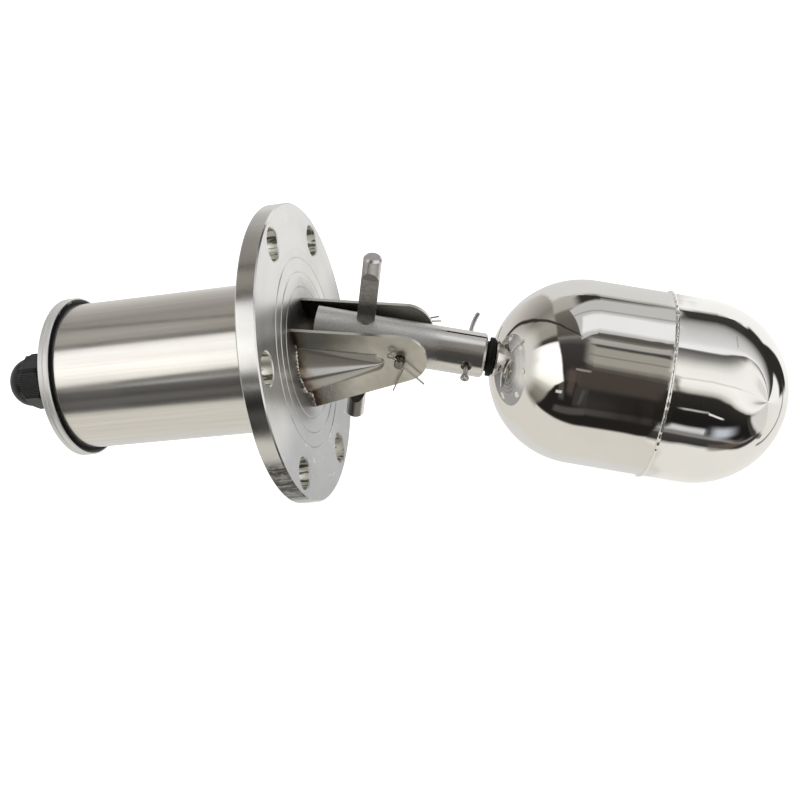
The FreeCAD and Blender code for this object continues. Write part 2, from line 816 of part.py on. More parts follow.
def split_pins():
    start = d.pivot_pin / 2 + d.leg_gap
    near = split_pin("near_split_pin", d.small_wire, d.small_eye, start, d.small_pin_reach,
                     spread=d.near_pin_spread)
    place(near, x=d.pivot_reach, y=-small_pin_place, axis=AXIS_Y, angle=d.small_pin_turn)
    far = split_pin("far_split_pin", d.small_wire, d.small_eye, start, d.small_pin_reach,
                    spread=d.far_pin_spread)
    place(far, x=d.pivot_reach, y=small_pin_place, axis=AXIS_Y, angle=d.far_pin_turn)
    stem = split_pin("stem_split_pin", d.stem_wire, d.stem_eye, d.stem_pin_eye_out,
                     d.stem_pin_out, bend=d.stem_pin_bend)
    across = FreeCAD.Rotation(AXIS_Z, 90) * FreeCAD.Rotation(AXIS_X, 90)
    lean = FreeCAD.Rotation(AXIS_Y, d.arm_droop.value)
    seat = lean.multVec(AXIS_X * d.stem_hole_reach.value) + AXIS_X * d.pivot_reach.value
    stem.Placement = FreeCAD.Placement(seat, lean * across)


# ---- float arm ------------------------------------------------------------------------------

def float_arm():
    pocket_radius = d.magnet_diameter / 2 + d.running_clearance
    stem_radius = d.stem_diameter / 2 + d.running_clearance
    pocket_end = -arm_inner + d.magnet_cap + d.magnet_length + d.magnet_play
    stem_start = d.arm_outer - d.stem_insert
    body = turned("float_arm", [
        (pocket_end, ZERO), (stem_start, ZERO), (stem_start, stem_radius),
        (d.arm_outer, stem_radius), (d.arm_outer, arm_radius), (-arm_inner, arm_radius),
        (-arm_inner, pocket_radius), (pocket_end, pocket_radius)])
    chamfer(body, lambda edge: is_ring(edge, d.arm_diameter) and edge.Curve.Center.x > 0,
            d.arm_edge)
    cross = sketch_on(body, "XZ_Plane")
    circle(cross, ZERO, ZERO, d.pivot_pin + d.running_clearance * 2)
    circle(cross, d.stem_hole_reach, ZERO, d.stem_hole)
    pocket(body, cross)
    upright = sketch_on(body, "XY_Plane")
    circle(upright, -d.rod_reach, ZERO, d.rod_diameter + d.running_clearance * 2)
    pocket(body, upright)
    slit = sketch_on(body, "XY_Plane", height=arm_radius - d.arm_slit_depth)
    half = d.arm_slit_width / 2
    rectangle(slit, d.arm_outer - d.arm_slit_length, d.arm_outer + OVERRUN, -half, half)
    pocket(body, slit, d.arm_slit_depth * 2, flip=True)
    on_arm(body)
    return body


def arm_magnet():
    end = -arm_inner + d.magnet_cap
    body = turned("arm_magnet", [
        (end, ZERO), (end + d.magnet_length, ZERO),
        (end + d.magnet_length, d.magnet_diameter / 2), (end, d.magnet_diameter / 2)])
    on_arm(body)


def magnet_cap():
    end = -arm_inner
    body = turned("magnet_cap", [
        (end, ZERO), (end + d.magnet_cap, ZERO),
        (end + d.magnet_cap, d.magnet_diameter / 2), (end, d.magnet_diameter / 2)])
    on_arm(body)


def stop_rod():
    """A round bar with a deep flat above the arm and one below it, on its near side. Each flat
    starts at a square step near the arm and runs out on a slope."""
    body = new_body("stop_rod")
    sketch = sketch_on(body, "XY_Plane", height=-d.rod_below)
    circle(sketch, -d.rod_reach, ZERO, d.rod_diameter)
    pad(body, sketch, d.rod_above + d.rod_below)
    chamfer(body, lambda edge: is_ring(edge, d.rod_diameter), d.rod_end_chamfer)
    radius = d.rod_diameter / 2
    floor = -radius + d.rod_flat_depth
    outside = -radius - d.rod_flat_depth
    beyond = d.rod_flat_end + d.rod_flat_run_out * 2
    flats = sketch_on(body, "YZ_Plane")
    for side in (1, -1):
        outline(flats, [
            (outside, d.rod_flat_start * side), (floor, d.rod_flat_start * side),
            (floor, d.rod_flat_end * side), (outside, beyond * side)])
    pocket(body, flats)
    on_arm(body)


def float_stem():
    start = d.arm_outer - d.stem_insert + d.seat_clearance
    end = d.arm_outer + d.float_gap + d.stem_inside
    radius = d.stem_diameter / 2
    body = turned("float_stem", [(start, ZERO), (end, ZERO), (end, radius), (start, radius)])
    cross = sketch_on(body, "XZ_Plane")
    circle(cross, d.stem_hole_reach, ZERO, d.stem_pin_hole)
    pocket(body, cross)
    on_arm(body)


def neck_collar():
    """A black washer with a short neck, dished to sit on the dome of the float."""
    start = d.arm_outer
    seat = start + d.float_gap - d.running_clearance
    bore = d.stem_diameter / 2 + d.running_clearance
    brim = d.collar_diameter / 2
    radius = d.float_diameter / 2
    sag = Size(f"({radius.formula} - sqrt({radius.formula}^2 - {brim.formula}^2))",
               radius.value - math.sqrt(radius.value ** 2 - brim.value ** 2))
    dish = Size(f"({radius.formula} - sqrt({radius.formula}^2 - {bore.formula}^2))",
                radius.value - math.sqrt(radius.value ** 2 - bore.value ** 2))
    brim_start = start + d.float_gap - d.collar_brim
    body = turned("neck_collar", [
        (start, bore), (seat + dish, bore, radius), (seat + sag, brim),
        (brim_start, brim), (brim_start, d.collar_neck / 2), (start, d.collar_neck / 2)])
    on_arm(body)


def float_shell(label, inner_half):
    """One deep-drawn half of the float, from its dome to the welded lip at the seam."""
    outer = d.float_diameter / 2
    inside = outer - d.float_wall
    tip = d.arm_outer + d.float_gap
    seam = tip + d.float_length / 2 + d.seam_shift
    lip = outer + d.seam_lip
    if inner_half:
        centre = tip + outer
        hole = d.stem_diameter / 2 + d.running_clearance
        back_off = Size(f"sqrt({outer.formula}^2 - {hole.formula}^2)",
                        math.sqrt(outer.value ** 2 - hole.value ** 2))
        back_in = Size(f"sqrt({inside.formula}^2 - {hole.formula}^2)",
                       math.sqrt(inside.value ** 2 - hole.value ** 2))
        corners = [
            (centre - back_off, hole, -outer), (centre, outer),
            (seam - d.seam_half, outer), (seam - d.seam_half / 2, lip), (seam, lip),
            (seam, inside), (centre, inside, inside), (centre - back_in, hole)]
    else:
        end = tip + d.float_length
        centre = end - outer
        corners = [
            (seam, lip), (seam + d.seam_half / 2, lip), (seam + d.seam_half, outer),
            (centre, outer, -outer), (end, ZERO), (end - d.float_wall, ZERO, inside),
            (centre, inside), (seam, inside)]
    body = turned(label, corners)
    on_arm(body)


# ---- contact group --------------------------------------------------------------------------

def contact_carrier():
    """One moulding: a foot on the studs, two side walls for the lever's pin, a terminal plate."""
    foot = back - d.spacer_length
    wall_start = foot - d.carrier_foot
    plate = wall_start - d.carrier_length
    half_gap = carrier_gap / 2
    body = new_body("contact_carrier")
    base = sketch_on(body, "YZ_Plane", height=foot)
    circle(base, ZERO, ZERO, (tube_bore - d.carrier_play) * 2)
    rectangle(base, -half_gap, half_gap, -d.window_height / 2, d.window_height / 2)
    pad(body, base, d.carrier_foot, flip=True)
    studs = sketch_on(body, "YZ_Plane", turn=d.stud_turn)
    for side in (1, -1):
        circle(studs, stud_radius * side, ZERO, d.stud_diameter + d.stud_play)
    pocket(body, studs)
    walls = sketch_on(body, "YZ_Plane", height=foot)
    half_height = d.carrier_height / 2
    for inner, outer in ((half_gap, half_gap + d.carrier_wall),
                         (-half_gap - d.carrier_wall, -half_gap)):
        rectangle(walls, inner, outer, -half_height, half_height)
    pad(body, walls, d.carrier_length + d.carrier_foot, flip=True)
    terminal = sketch_on(body, "YZ_Plane", height=plate)
    stud_y = stud_radius * math.cos(math.radians(d.stud_turn.value))
    half_width = stud_y - d.stud_diameter / 2 - d.terminal_side_gap
    rectangle(terminal, -half_width, half_width, -d.terminal_height / 2, d.terminal_height / 2)
    pad(body, terminal, d.terminal_plate, flip=True)
    slots = sketch_on(body, "YZ_Plane")
    slack = d.seat_clearance
    for side in (1, -1):
        middle = d.contact_spacing / 2 * side
        for level in (strip_low, -strip_high):
            rectangle(slots, middle - d.strip_width / 2 - slack, middle + d.strip_width / 2 + slack,
                      level - slack, level + d.strip_thickness + slack)
    pocket(body, slots)
    screws = sketch_on(body, "YZ_Plane", height=plate - d.terminal_plate)
    for side in (1, -1):
        for level in (1, -1):
            circle(screws, d.contact_spacing / 2 * side, d.terminal_screw_height * level,
                   d.terminal_screw + d.running_clearance * 2)
    pocket(body, screws, d.terminal_plate, flip=True)
    bore = sketch_on(body, "XZ_Plane")
    circle(bore, -d.lever_reach, ZERO, d.lever_pin + d.running_clearance)
    pocket(body, bore)
    return body


def switch_lever():
    """The rocking lever: magnet cup in front, hub in the middle, slotted tail behind."""
    body = new_body("switch_lever")
    half = d.lever_thickness / 2
    cup_back = lever_front - d.lever_cup_depth
    bar = sketch_on(body, "XZ_Plane")
    rectangle(bar, -d.lever_rear, cup_back + d.lever_root, -half, half)
    pad(body, bar, d.lever_width, midplane=True)
    hub = sketch_on(body, "XZ_Plane")
    circle(hub, ZERO, ZERO, d.lever_hub)
    pad(body, hub, carrier_gap - d.lever_side_gap * 2, midplane=True)
    cup = sketch_on(body, "YZ_Plane", height=cup_back)
    circle(cup, ZERO, ZERO, d.lever_cup)
    pad(body, cup, d.lever_cup_depth)
    socket = sketch_on(body, "YZ_Plane", height=lever_front)
    circle(socket, ZERO, ZERO, d.lever_magnet + d.running_clearance * 2)
    pocket(body, socket, d.lever_magnet_length)
    bore = sketch_on(body, "XZ_Plane")
    circle(bore, ZERO, ZERO, d.lever_pin + d.running_clearance * 2)
    pocket(body, bore)
    slot = sketch_on(body, "XZ_Plane")
    reach = d.bridge_width / 2 + d.running_clearance
    rise = d.bridge_thickness / 2 + d.running_clearance
    rectangle(slot, -d.bridge_place - reach, -d.bridge_place + reach, -rise, rise)
    pocket(body, slot)
    on_lever(body)


def lever_magnet():
    body = turned("lever_magnet", [
        (lever_front - d.lever_magnet_length, ZERO), (lever_front, ZERO),
        (lever_front, d.lever_magnet / 2),
        (lever_front - d.lever_magnet_length, d.lever_magnet / 2)])
    on_lever(body)


def lever_pin():
    body = new_body("lever_pin")
    sketch = sketch_on(body, "XZ_Plane")
    circle(sketch, -d.lever_reach, ZERO, d.lever_pin)
    pad(body, sketch, carrier_gap + (d.carrier_wall + d.lever_pin_tail) * 2, midplane=True)


def contact_bridge():
    """The moving strip, with a contact rivet at each end that shows on both faces."""
    body = new_body("contact_bridge")
    half = d.bridge_width / 2
    span = d.contact_spacing + d.contact_diameter + d.bridge_edge * 2
    strip = sketch_on(body, "XY_Plane")
    rectangle(strip, -d.bridge_place - half, -d.bridge_place + half,
              -span / 2, span / 2)
    pad(body, strip, d.bridge_thickness, midplane=True)
    rivets = sketch_on(body, "XY_Plane")
    for side in (1, -1):
        circle(rivets, -d.bridge_place, d.contact_spacing / 2 * side, d.contact_diameter)
    pad(body, rivets, d.bridge_thickness + d.contact_rise * 2, midplane=True)
    on_lever(body)


# The highest point that the bridge's rivets reach with the lever at either stop.
droop = math.radians(d.lever_droop.value)
rivet_top = (d.bridge_place * math.sin(droop)
             + (d.bridge_thickness / 2 + d.contact_rise) * math.cos(droop)
             + d.contact_diameter / 2 * math.sin(droop))
contact_face = rivet_top + d.contact_gap
strip_low = contact_face + d.fixed_contact_rise
strip_high = strip_low + d.strip_thickness


def upper_contacts():
    """Two bent strips, side by side: a contact at the front, a screwed tab behind the plate."""
    plate_back = back - d.spacer_length - d.carrier_foot - d.carrier_length - d.terminal_plate
    contact_x = -d.lever_reach - d.bridge_place * math.cos(droop)
    front = contact_x + d.bridge_width / 2
    tab_top = d.terminal_screw_height + d.terminal_screw_head / 2 + d.tab_lip
    body = new_body("upper_contacts", several=True)
    bent = sketch_on(body, "XZ_Plane")
    outline(bent, [
        (front, strip_low), (front, strip_high), (plate_back, strip_high), (plate_back, tab_top),
        (plate_back - d.strip_thickness, tab_top), (plate_back - d.strip_thickness, strip_low)])
    pad(body, bent, d.contact_spacing + d.strip_width, midplane=True)
    apart = sketch_on(body, "XY_Plane")
    half = d.contact_spacing / 2 - d.strip_width / 2
    rectangle(apart, -d.housing_length, ZERO, -half, half)
    pocket(body, apart)
    points = sketch_on(body, "XY_Plane", height=contact_face)
    for side in (1, -1):
        circle(points, contact_x, d.contact_spacing / 2 * side, d.contact_diameter)
    pad(body, points, d.fixed_contact_rise)
    holes = sketch_on(body, "YZ_Plane")
    for side in (1, -1):
        circle(holes, d.contact_spacing / 2 * side, d.terminal_screw_height,
               d.terminal_screw + d.running_clearance * 2)
    pocket(body, holes)
    return body


def terminal_screws():
    """Four pan-head screws on the terminal plate."""
    plate_back = back - d.spacer_length - d.carrier_foot - d.carrier_length - d.terminal_plate
    seat = plate_back - d.strip_thickness
    places = [(side, level) for side in (1, -1) for level in (1, -1)]
    body = new_body("terminal_screws", several=True)
    for diameter, length, flip in (
            (d.terminal_screw_head, d.terminal_screw_rise, True),
            (d.terminal_screw, d.terminal_plate + d.strip_thickness - d.terminal_screw_tip, False)):
        sketch = sketch_on(body, "YZ_Plane", height=seat)
        for side, level in places:
            circle(sketch, d.contact_spacing / 2 * side, d.terminal_screw_height * level, diameter)
        pad(body, sketch, length, flip=flip)
    return body


# ---- build, check, write --------------------------------------------------------------------

mounting_flange()
housing_tube()
end_cover()
cover_gasket()
stud_set()
gland_body()
gland_cap()
gland_seal()
gland_washer()
mirrored("right_cheek", left_cheek(), AXIS_Y)
pivot_pin()
split_pins()
float_arm()
arm_magnet()
magnet_cap()
stop_rod()
float_stem()
neck_collar()
float_shell("float_inner_shell", True)
float_shell("float_outer_shell", False)
contact_carrier()
switch_lever()
lever_magnet()
lever_pin()
contact_bridge()
mirrored("lower_contacts", upper_contacts(), AXIS_Z)
terminal_screws()
doc.recompute()

for thing in doc.Objects:
    if "Invalid" in thing.State or "Error" in thing.State:
        raise RuntimeError(f"{thing.Label} failed to recompute")

PIECE_TYPES = ("PartDesign::Body", "Part::Mirroring", "Part::Feature")
pieces = [thing for thing in doc.Objects if thing.TypeId in PIECE_TYPES]
os.makedirs("parts", exist_ok=True)
for piece in pieces:
    shape = piece.Shape
    if shape.isNull() or not shape.isValid() or not shape.Solids:
        raise RuntimeError(f"{piece.Label} has no sound solid")
    print(f"{piece.Label}: {len(shape.Solids)} solids, {shape.Volume / 1000:.2f} cm3")
for piece in pieces:
    piece.Shape.exportStep(f"parts/{piece.Label}.step")
print(len(pieces), "pieces written")
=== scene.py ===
# %% [markdown]
# # A float level switch
#
# The switch hangs on the side of a tank. A bolted flange closes the tank's opening. Inside the
# tank a steel float swings on a hinged arm, and outside a sealed tube holds the contacts. Nearly
# every piece is bare stainless steel, so this lesson is mostly about one metal with many surfaces:
# drawn tube, turned face, pressed sheet, blasted bar and a float polished like a mirror.
#
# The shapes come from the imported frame. Blender adds finishes, weld beads and moulded ribs.

import json
import math
import random

import bmesh
import bpy
from mathutils import Matrix, Vector


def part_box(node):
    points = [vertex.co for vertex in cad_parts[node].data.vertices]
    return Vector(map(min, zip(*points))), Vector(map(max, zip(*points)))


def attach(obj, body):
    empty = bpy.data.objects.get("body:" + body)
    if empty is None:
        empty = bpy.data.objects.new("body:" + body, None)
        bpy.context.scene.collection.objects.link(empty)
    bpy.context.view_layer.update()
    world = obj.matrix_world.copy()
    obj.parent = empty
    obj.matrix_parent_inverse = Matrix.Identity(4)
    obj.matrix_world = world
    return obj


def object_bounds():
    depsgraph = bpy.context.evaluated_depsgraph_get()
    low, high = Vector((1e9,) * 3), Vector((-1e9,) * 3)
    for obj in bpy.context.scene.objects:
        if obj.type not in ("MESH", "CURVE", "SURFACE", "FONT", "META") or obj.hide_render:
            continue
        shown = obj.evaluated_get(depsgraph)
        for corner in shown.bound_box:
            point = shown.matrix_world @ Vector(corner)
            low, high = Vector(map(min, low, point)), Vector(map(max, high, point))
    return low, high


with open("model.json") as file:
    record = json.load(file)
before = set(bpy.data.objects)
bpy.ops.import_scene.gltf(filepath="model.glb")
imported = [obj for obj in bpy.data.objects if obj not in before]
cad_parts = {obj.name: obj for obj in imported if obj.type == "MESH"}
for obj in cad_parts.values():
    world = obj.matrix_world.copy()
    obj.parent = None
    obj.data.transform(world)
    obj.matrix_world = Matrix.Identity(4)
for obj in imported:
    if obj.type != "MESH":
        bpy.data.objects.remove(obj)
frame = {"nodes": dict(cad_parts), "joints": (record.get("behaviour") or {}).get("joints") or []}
cad_low, cad_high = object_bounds()

MM = 0.001
DEG = math.pi / 180


def joint_place(name):
    """The pivot of a joint of the frame."""
    joint = [item for item in frame["joints"] if item["name"] == name][0]
    return Vector(joint["pos_m"])


PIVOT = joint_place("float_swing")
ARM_DROOP = 19.1 * DEG         # how far the arm and float hang below level at rest

# %% [markdown]
# ## The camera
#
# A product picture of a long object is often taken from above and a little to one side, with the
# camera rolled so that the object runs across the frame. Azimuth, elevation and roll say that in
# plain words. A lens of about 54 mm stands near enough for the flange to look larger than the
# cover.

# %% Camera
CAMERA_TARGET = Vector((39.5, -8.7, -26.5)) * MM
CAMERA_DISTANCE = 566 * MM
CAMERA_AZIMUTH = 16.81 * DEG
CAMERA_ELEVATION = 36.55 * DEG
CAMERA_ROLL = 15.67 * DEG
CAMERA_LENS = 54.34


def camera_axes(azimuth, elevation, roll):
    """Right, up and backward directions of a camera that looks at the object."""
    back = Vector((math.sin(azimuth) * math.cos(elevation),
        -math.cos(azimuth) * math.cos(elevation), math.sin(elevation)))
    level = Vector((math.cos(azimuth), math.sin(azimuth), 0))
    upright = back.cross(level)
    right = level * math.cos(roll) - upright * math.sin(roll)
    return right, back.cross(right), back


def make_camera():
    right, up, back = camera_axes(CAMERA_AZIMUTH, CAMERA_ELEVATION, CAMERA_ROLL)
    camera = bpy.data.objects.new("camera", bpy.data.cameras.new("camera"))
    camera.data.lens = CAMERA_LENS
    camera.data.sensor_width = 36
    camera.matrix_world = Matrix((right, up, back)).transposed().to_4x4()
    camera.location = CAMERA_TARGET + back * CAMERA_DISTANCE
    bpy.context.collection.objects.link(camera)
    bpy.context.scene.camera = camera
    return camera


camera = make_camera()
print("camera at", [round(value, 3) for value in camera.location])

# %% [markdown]
# ## Wiring nodes
#
# A material is a small graph. Wiring each link by hand fills pages, so a helper class keeps the
# graph short: every method makes one node, plugs in what it is given (a number or another node's
# output) and hands back the new output.

# %% Node helper


class Wires:
    """Builds one node tree. Inputs may be numbers, colours or outputs of other nodes."""

    def __init__(self, tree):
        self.tree = tree

    def plug(self, socket, value):
        if isinstance(value, bpy.types.NodeSocket):
            self.tree.links.new(value, socket)
        elif value is not None:
            socket.default_value = value

    def node(self, kind, **settings):
        made = self.tree.nodes.new(kind)
        for name, value in settings.items():
            setattr(made, name, value)
        return made

    def math(self, operation, first, second=None, third=None, clamp=False):
        made = self.node("ShaderNodeMath", operation=operation, use_clamp=clamp)
        for socket, value in zip(made.inputs, (first, second, third)):
            self.plug(socket, value)
        return made.outputs[0]

    def plus(self, first, second):
        return self.math("ADD", first, second)

    def minus(self, first, second):
        return self.math("SUBTRACT", first, second)

    def times(self, first, second):
        return self.math("MULTIPLY", first, second)

    def over(self, first, second):
        return self.math("DIVIDE", first, second)

    def size(self, value):
        return self.math("ABSOLUTE", value)

    def length(self, first, second):
        """How long the way is that goes first across and then second up."""
        return self.math("SQRT", self.plus(self.times(first, first), self.times(second, second)))

    def fade(self, value, start, end, low=0.0, high=1.0):
        """Runs smoothly from low to high while value runs from start to end."""
        made = self.node("ShaderNodeMapRange", interpolation_type="SMOOTHSTEP")
        for name, item in (("Value", value), ("From Min", start), ("From Max", end),
                           ("To Min", low), ("To Max", high)):
            self.plug(made.inputs[name], item)
        return made.outputs["Result"]

    def mix(self, share, first, second, blend="MIX"):
        """Blends two colours."""
        made = self.node("ShaderNodeMix", data_type="RGBA", blend_type=blend)
        self.plug(made.inputs["Factor"], share)
        for socket, colour in ((made.inputs[6], first), (made.inputs[7], second)):
            self.plug(socket, colour if isinstance(colour,
                bpy.types.NodeSocket) else rgba(colour))
        return made.outputs[2]

    def place(self):
        """The object's own coordinates in metres, which stay with the piece as it moves."""
        return self.node("ShaderNodeTexCoord").outputs["Object"]

    def facing(self):
        """The piece's own surface direction, as X, Y and Z."""
        return self.split(self.node("ShaderNodeTexCoord").outputs["Normal"])

    def split(self, vector):
        made = self.node("ShaderNodeSeparateXYZ")
        self.plug(made.inputs[0], vector)
        return made.outputs

    def join(self, x, y, z):
        made = self.node("ShaderNodeCombineXYZ")
        for socket, value in zip(made.inputs, (x, y, z)):
            self.plug(socket, value)
        return made.outputs[0]

    def turn(self, vector, angle, centre):
        """Turns a place about the Y direction, to measure along a piece that hangs at an angle."""
        made = self.node("ShaderNodeVectorRotate", rotation_type="Y_AXIS")
        self.plug(made.inputs["Vector"], vector)
        self.plug(made.inputs["Center"], centre)
        self.plug(made.inputs["Angle"], angle)
        return made.outputs[0]

    def noise(self, vector, scale, detail=3.0, rough=0.5, stretch=(1, 1, 1)):
        spread = self.node("ShaderNodeMapping")
        self.plug(spread.inputs["Vector"], vector)
        spread.inputs["Scale"].default_value = stretch
        made = self.node("ShaderNodeTexNoise")
        self.plug(made.inputs["Vector"], spread.outputs[0])
        self.plug(made.inputs["Scale"], scale)
        self.plug(made.inputs["Detail"], detail)
        self.plug(made.inputs["Roughness"], rough)
        return made.outputs["Fac"]

    def ramp(self, value, stops, kind="LINEAR"):
        """A colour ramp from (place, colour) stops."""
        made = self.node("ShaderNodeValToRGB")
        band = made.color_ramp
        band.interpolation = kind
        while len(band.elements) < len(stops):
            band.elements.new(1.0)
        for element, (place, colour) in zip(band.elements, stops):
            element.position = place
            element.color = rgba(colour)
        self.plug(made.inputs[0], value)
        return made.outputs[0]

    def group(self, tree, **values):
        """Places a shared node group and gives its named inputs their values."""
        made = self.node("ShaderNodeGroup", node_tree=tree)
        for name, value in values.items():
            self.plug(made.inputs[name.replace("_", " ").capitalize()], value)
        return made.outputs

    def bump(self, height, distance, strength=1.0):
        made = self.node("ShaderNodeBump")
        self.plug(made.inputs["Height"], height)
        made.inputs["Distance"].default_value = distance
        made.inputs["Strength"].default_value = strength
        return made.outputs["Normal"]


def rgba(colour):
    """A grey number or three numbers as the four numbers that a colour socket wants."""
    if isinstance(colour, (int, float)):
        return (colour, colour, colour, 1.0)
    return tuple(colour) + (1.0,) if len(colour) == 3 else tuple(colour)


print("node helper ready")

# %% [markdown]
# ## The studio
#
# Polished steel has no colour of its own: it shows the room. The room here is a small studio with
# a pale table, a dark side where the camera and its operator stand, a large white light overhead
# and a bright wall behind. A world shader gives that room by direction. Only reflected rays see
# it. Camera rays see plain white, and diffuse rays an even soft light, so the same metal looks
# right from every side.
#
# The float lies along a slanted axis, so a direction is read as two numbers: its turn around that
# axis, from the front through overhead to the back, and its lean along the axis, from -1 at the
# flange's end to 1 at the float's end. Colour ramps over the turn paint the stripes, and
# soft-edged panels, given by their turns and leans, lie over them.

# %% World helpers
EVEN_LIGHT = 0.75
TABLE = (0.72, 0.695, 0.635)
TABLE_FAR = (0.84, 0.825, 0.78)
FLOAT_AXIS = Vector((math.cos(ARM_DROOP), 0, -math.sin(ARM_DROOP)))
SEAM_LEAN = 0.19              # lean at which the far stripes take over


def room_turn(degrees):
    """Place on a ramp for a turn around an axis: 0 is in front, 90 overhead, 180 behind."""
    return ((degrees + 90) % 360) / 360


def room_ramp(wires, turn, stops):
    return wires.ramp(turn, [(room_turn(angle), colour) for angle, colour in stops])


def between(wires, value, low, high, soft):
    """1 where value lies between low and high, with soft edges outside them."""
    rise = wires.fade(value, wires.minus(low, soft), low)
    fall = wires.fade(value, high, wires.plus(high, soft), 1.0, 0.0)
    return wires.times(rise, fall)


def panel(wires, room, turn, lean, turns, leans, colour, soft=(2, 0.03), slant=0, tilt=0, share=1):
    """Lays a patch of colour over the room. slant moves its turns by degrees per unit of lean, and
    tilt moves its leans by so much per degree of turn."""
    moved_turn = wires.minus(turn, wires.times(lean, slant / 360))
    from_start = wires.minus(turn, room_turn(turns[0]))
    moved_lean = wires.minus(lean, wires.times(from_start, tilt * 360))
    mask = wires.times(between(wires, moved_turn, room_turn(turns[0]), room_turn(turns[1]),
        soft[0] / 360), between(wires, moved_lean, leans[0], leans[1], soft[1]))
    return wires.mix(wires.times(mask, share), room, colour)


def hang(wires, room, turn, lean, panels):
    for turns, leans, colour, soft, slant, tilt, share in panels:
        room = panel(wires, room, turn, lean, turns, leans, colour, soft, slant, tilt, share)
    return room


# %% [markdown]
# The flange's end of the room is what the tube, the cover and the flange's rim show: a dark band
# low in front, a tall white light above it, a thin dark edge and a grey wall. The float's neck
# shows it too, as a white patch beside its dark middle.

# %% Flange's end of the room
NECK_LEAN = (-0.95, -0.80)            # leans at which all goes pale


def flange_end(wires, turn, lean):
    room = room_ramp(wires, turn, [
        (-90, TABLE), (-40, TABLE), (-31, (0.30, 0.29, 0.26)), (-27, (0.17, 0.16, 0.13)),
        (-6, (0.30, 0.29, 0.25)), (6, (0.62, 0.60, 0.53)), (13, (1.02, 1.0, 0.94)),
        (36, (1.40, 1.39, 1.34)), (47, (1.22, 1.20, 1.16)), (61, 1.30), (74, (1.10, 1.09, 1.05)),
        (77, (0.05, 0.045, 0.04)), (83, (0.07, 0.06, 0.055)), (89, (0.34, 0.32, 0.28)),
        (110, (0.37, 0.35, 0.31)), (124, (0.30, 0.28, 0.25)), (137, (0.24, 0.225, 0.20)),
        (152, (0.34, 0.32, 0.30)), (172, (0.48, 0.46, 0.43)), (192, (0.66, 0.64, 0.61)),
        (269, TABLE)])
    pale = wires.fade(lean, NECK_LEAN[0], NECK_LEAN[1], 1.0, 0.0)
    return wires.mix(pale, room, (0.70, 0.69, 0.65))


# %% [markdown]
# The middle of the room lies across the float's near half. It is dark in front, where the camera's
# side has no light, with dim brown shapes of things that stand there. An olive screen stands above
# them, with a silver reflector over it, and a thin black frame curves behind.

# %% Middle of the room
FRAME_CURVE = [(80, 0.16), (84, 0.24), (88, 0.34), (95, 0.47), (107, 0.60), (122, 0.70),
               (135, 0.76), (160, 0.785), (186, 0.775), (215, 0.72)]
FRAME_HALF_WIDTH = 0.012


def black_frame(wires, room, turn, lean):
    """A thin curved line. Its lean at each turn comes from a ramp of greys."""
    curve = room_ramp(wires, turn, FRAME_CURVE)
    off = wires.size(wires.plus(lean, curve))
    line = wires.fade(off, FRAME_HALF_WIDTH, FRAME_HALF_WIDTH * 3, 1.0, 0.0)
    line = wires.times(line, between(wires, turn, room_turn(86), room_turn(192), 0.03))
    return wires.mix(line, room, (0.04, 0.037, 0.032))


def room_middle(wires, turn, lean):
    room = room_ramp(wires, turn, [
        (-90, TABLE), (-33, TABLE), (-30.5, (0.018, 0.016, 0.015)), (4, (0.018, 0.016, 0.015)),
        (32, (0.03, 0.027, 0.025)), (70, (0.05, 0.047, 0.045)), (76, (0.11, 0.105, 0.10)),
        (80, (0.22, 0.21, 0.195)), (84, (0.10, 0.092, 0.08)), (108, (0.14, 0.125, 0.11)),
        (121, (0.18, 0.165, 0.145)), (126, (0.42, 0.405, 0.37)), (160, (0.52, 0.505, 0.47)),
        (190, (0.68, 0.67, 0.65)), (230, (0.68, 0.67, 0.65)), (269, TABLE)])
    return hang(wires, room, turn, lean, [
        ((8, 28), (-0.28, -0.22), (0.10, 0.08, 0.07), (12, 0.08), -20, 0, 0.7),
        ((26, 34), (-0.34, -0.14), (0.12, 0.085, 0.07), (6, 0.09), 0, 0, 0.5),
        ((-14, -10), (-0.40, 0.10), (0.10, 0.095, 0.088), (5, 0.08), 12, 0, 0.8),
        ((-2, 14), (-0.12, 0.10), (0.06, 0.056, 0.054), (8, 0.06), 0, 0, 0.7),
        ((0, 12), (-0.03, 0.00), (0.10, 0.10, 0.10), (6, 0.03), 0, 0.003, 0.6),
        ((22, 38), (-0.10, 0.16), (0.085, 0.07, 0.058), (8, 0.05), 0, 0, 0.7),
        ((2, 24), (-0.42, -0.36), (0.11, 0.105, 0.09), (8, 0.04), 0, -0.003, 0.7),
        ((11, 13), (-0.49, -0.40), 0.75, (2, 0.02), 14, 0, 0.85),
        ((39, 40), (-0.18, 0.04), (0.36, 0.32, 0.28), (1.5, 0.05), 0, 0, 0.8),
        ((84, 134), (-0.19, 1.0), (0.56, 0.555, 0.55), (2, 0.02), 40, -0.0040, 1.0),
        ((92, 110), (-0.14, 1.0), (0.93, 0.935, 0.95), (6, 0.05), 30, 0, 0.9),
        ((118, 119), (-0.30, 1.0), (0.25, 0.25, 0.25), (1.2, 0.02), 26, 0, 0.6),
        ((50, 71), (0.12, 1.0), (0.40, 0.385, 0.34), (3.5, 0.26), -22, 0, 0.9),
        ((46, 50), (0.10, 1.0), (0.13, 0.12, 0.10), (4, 0.20), -22, 0, 0.6),
        ((60, 61), (0.02, 1.0), (0.20, 0.19, 0.16), (1.0, 0.10), -10, 0, 0.7),
        ((74, 78), (0.08, 1.0), (0.55, 0.54, 0.51), (2.5, 0.16), 4, 0, 0.7),
        ((139, 149), (-0.12, 1.0), (0.035, 0.032, 0.03), (5, 0.16), 40, 0, 1.0),
        ((154, 262), (-0.35, 1.0), (0.72, 0.715, 0.70), (8, 0.30), 0, 0, 1.0)])


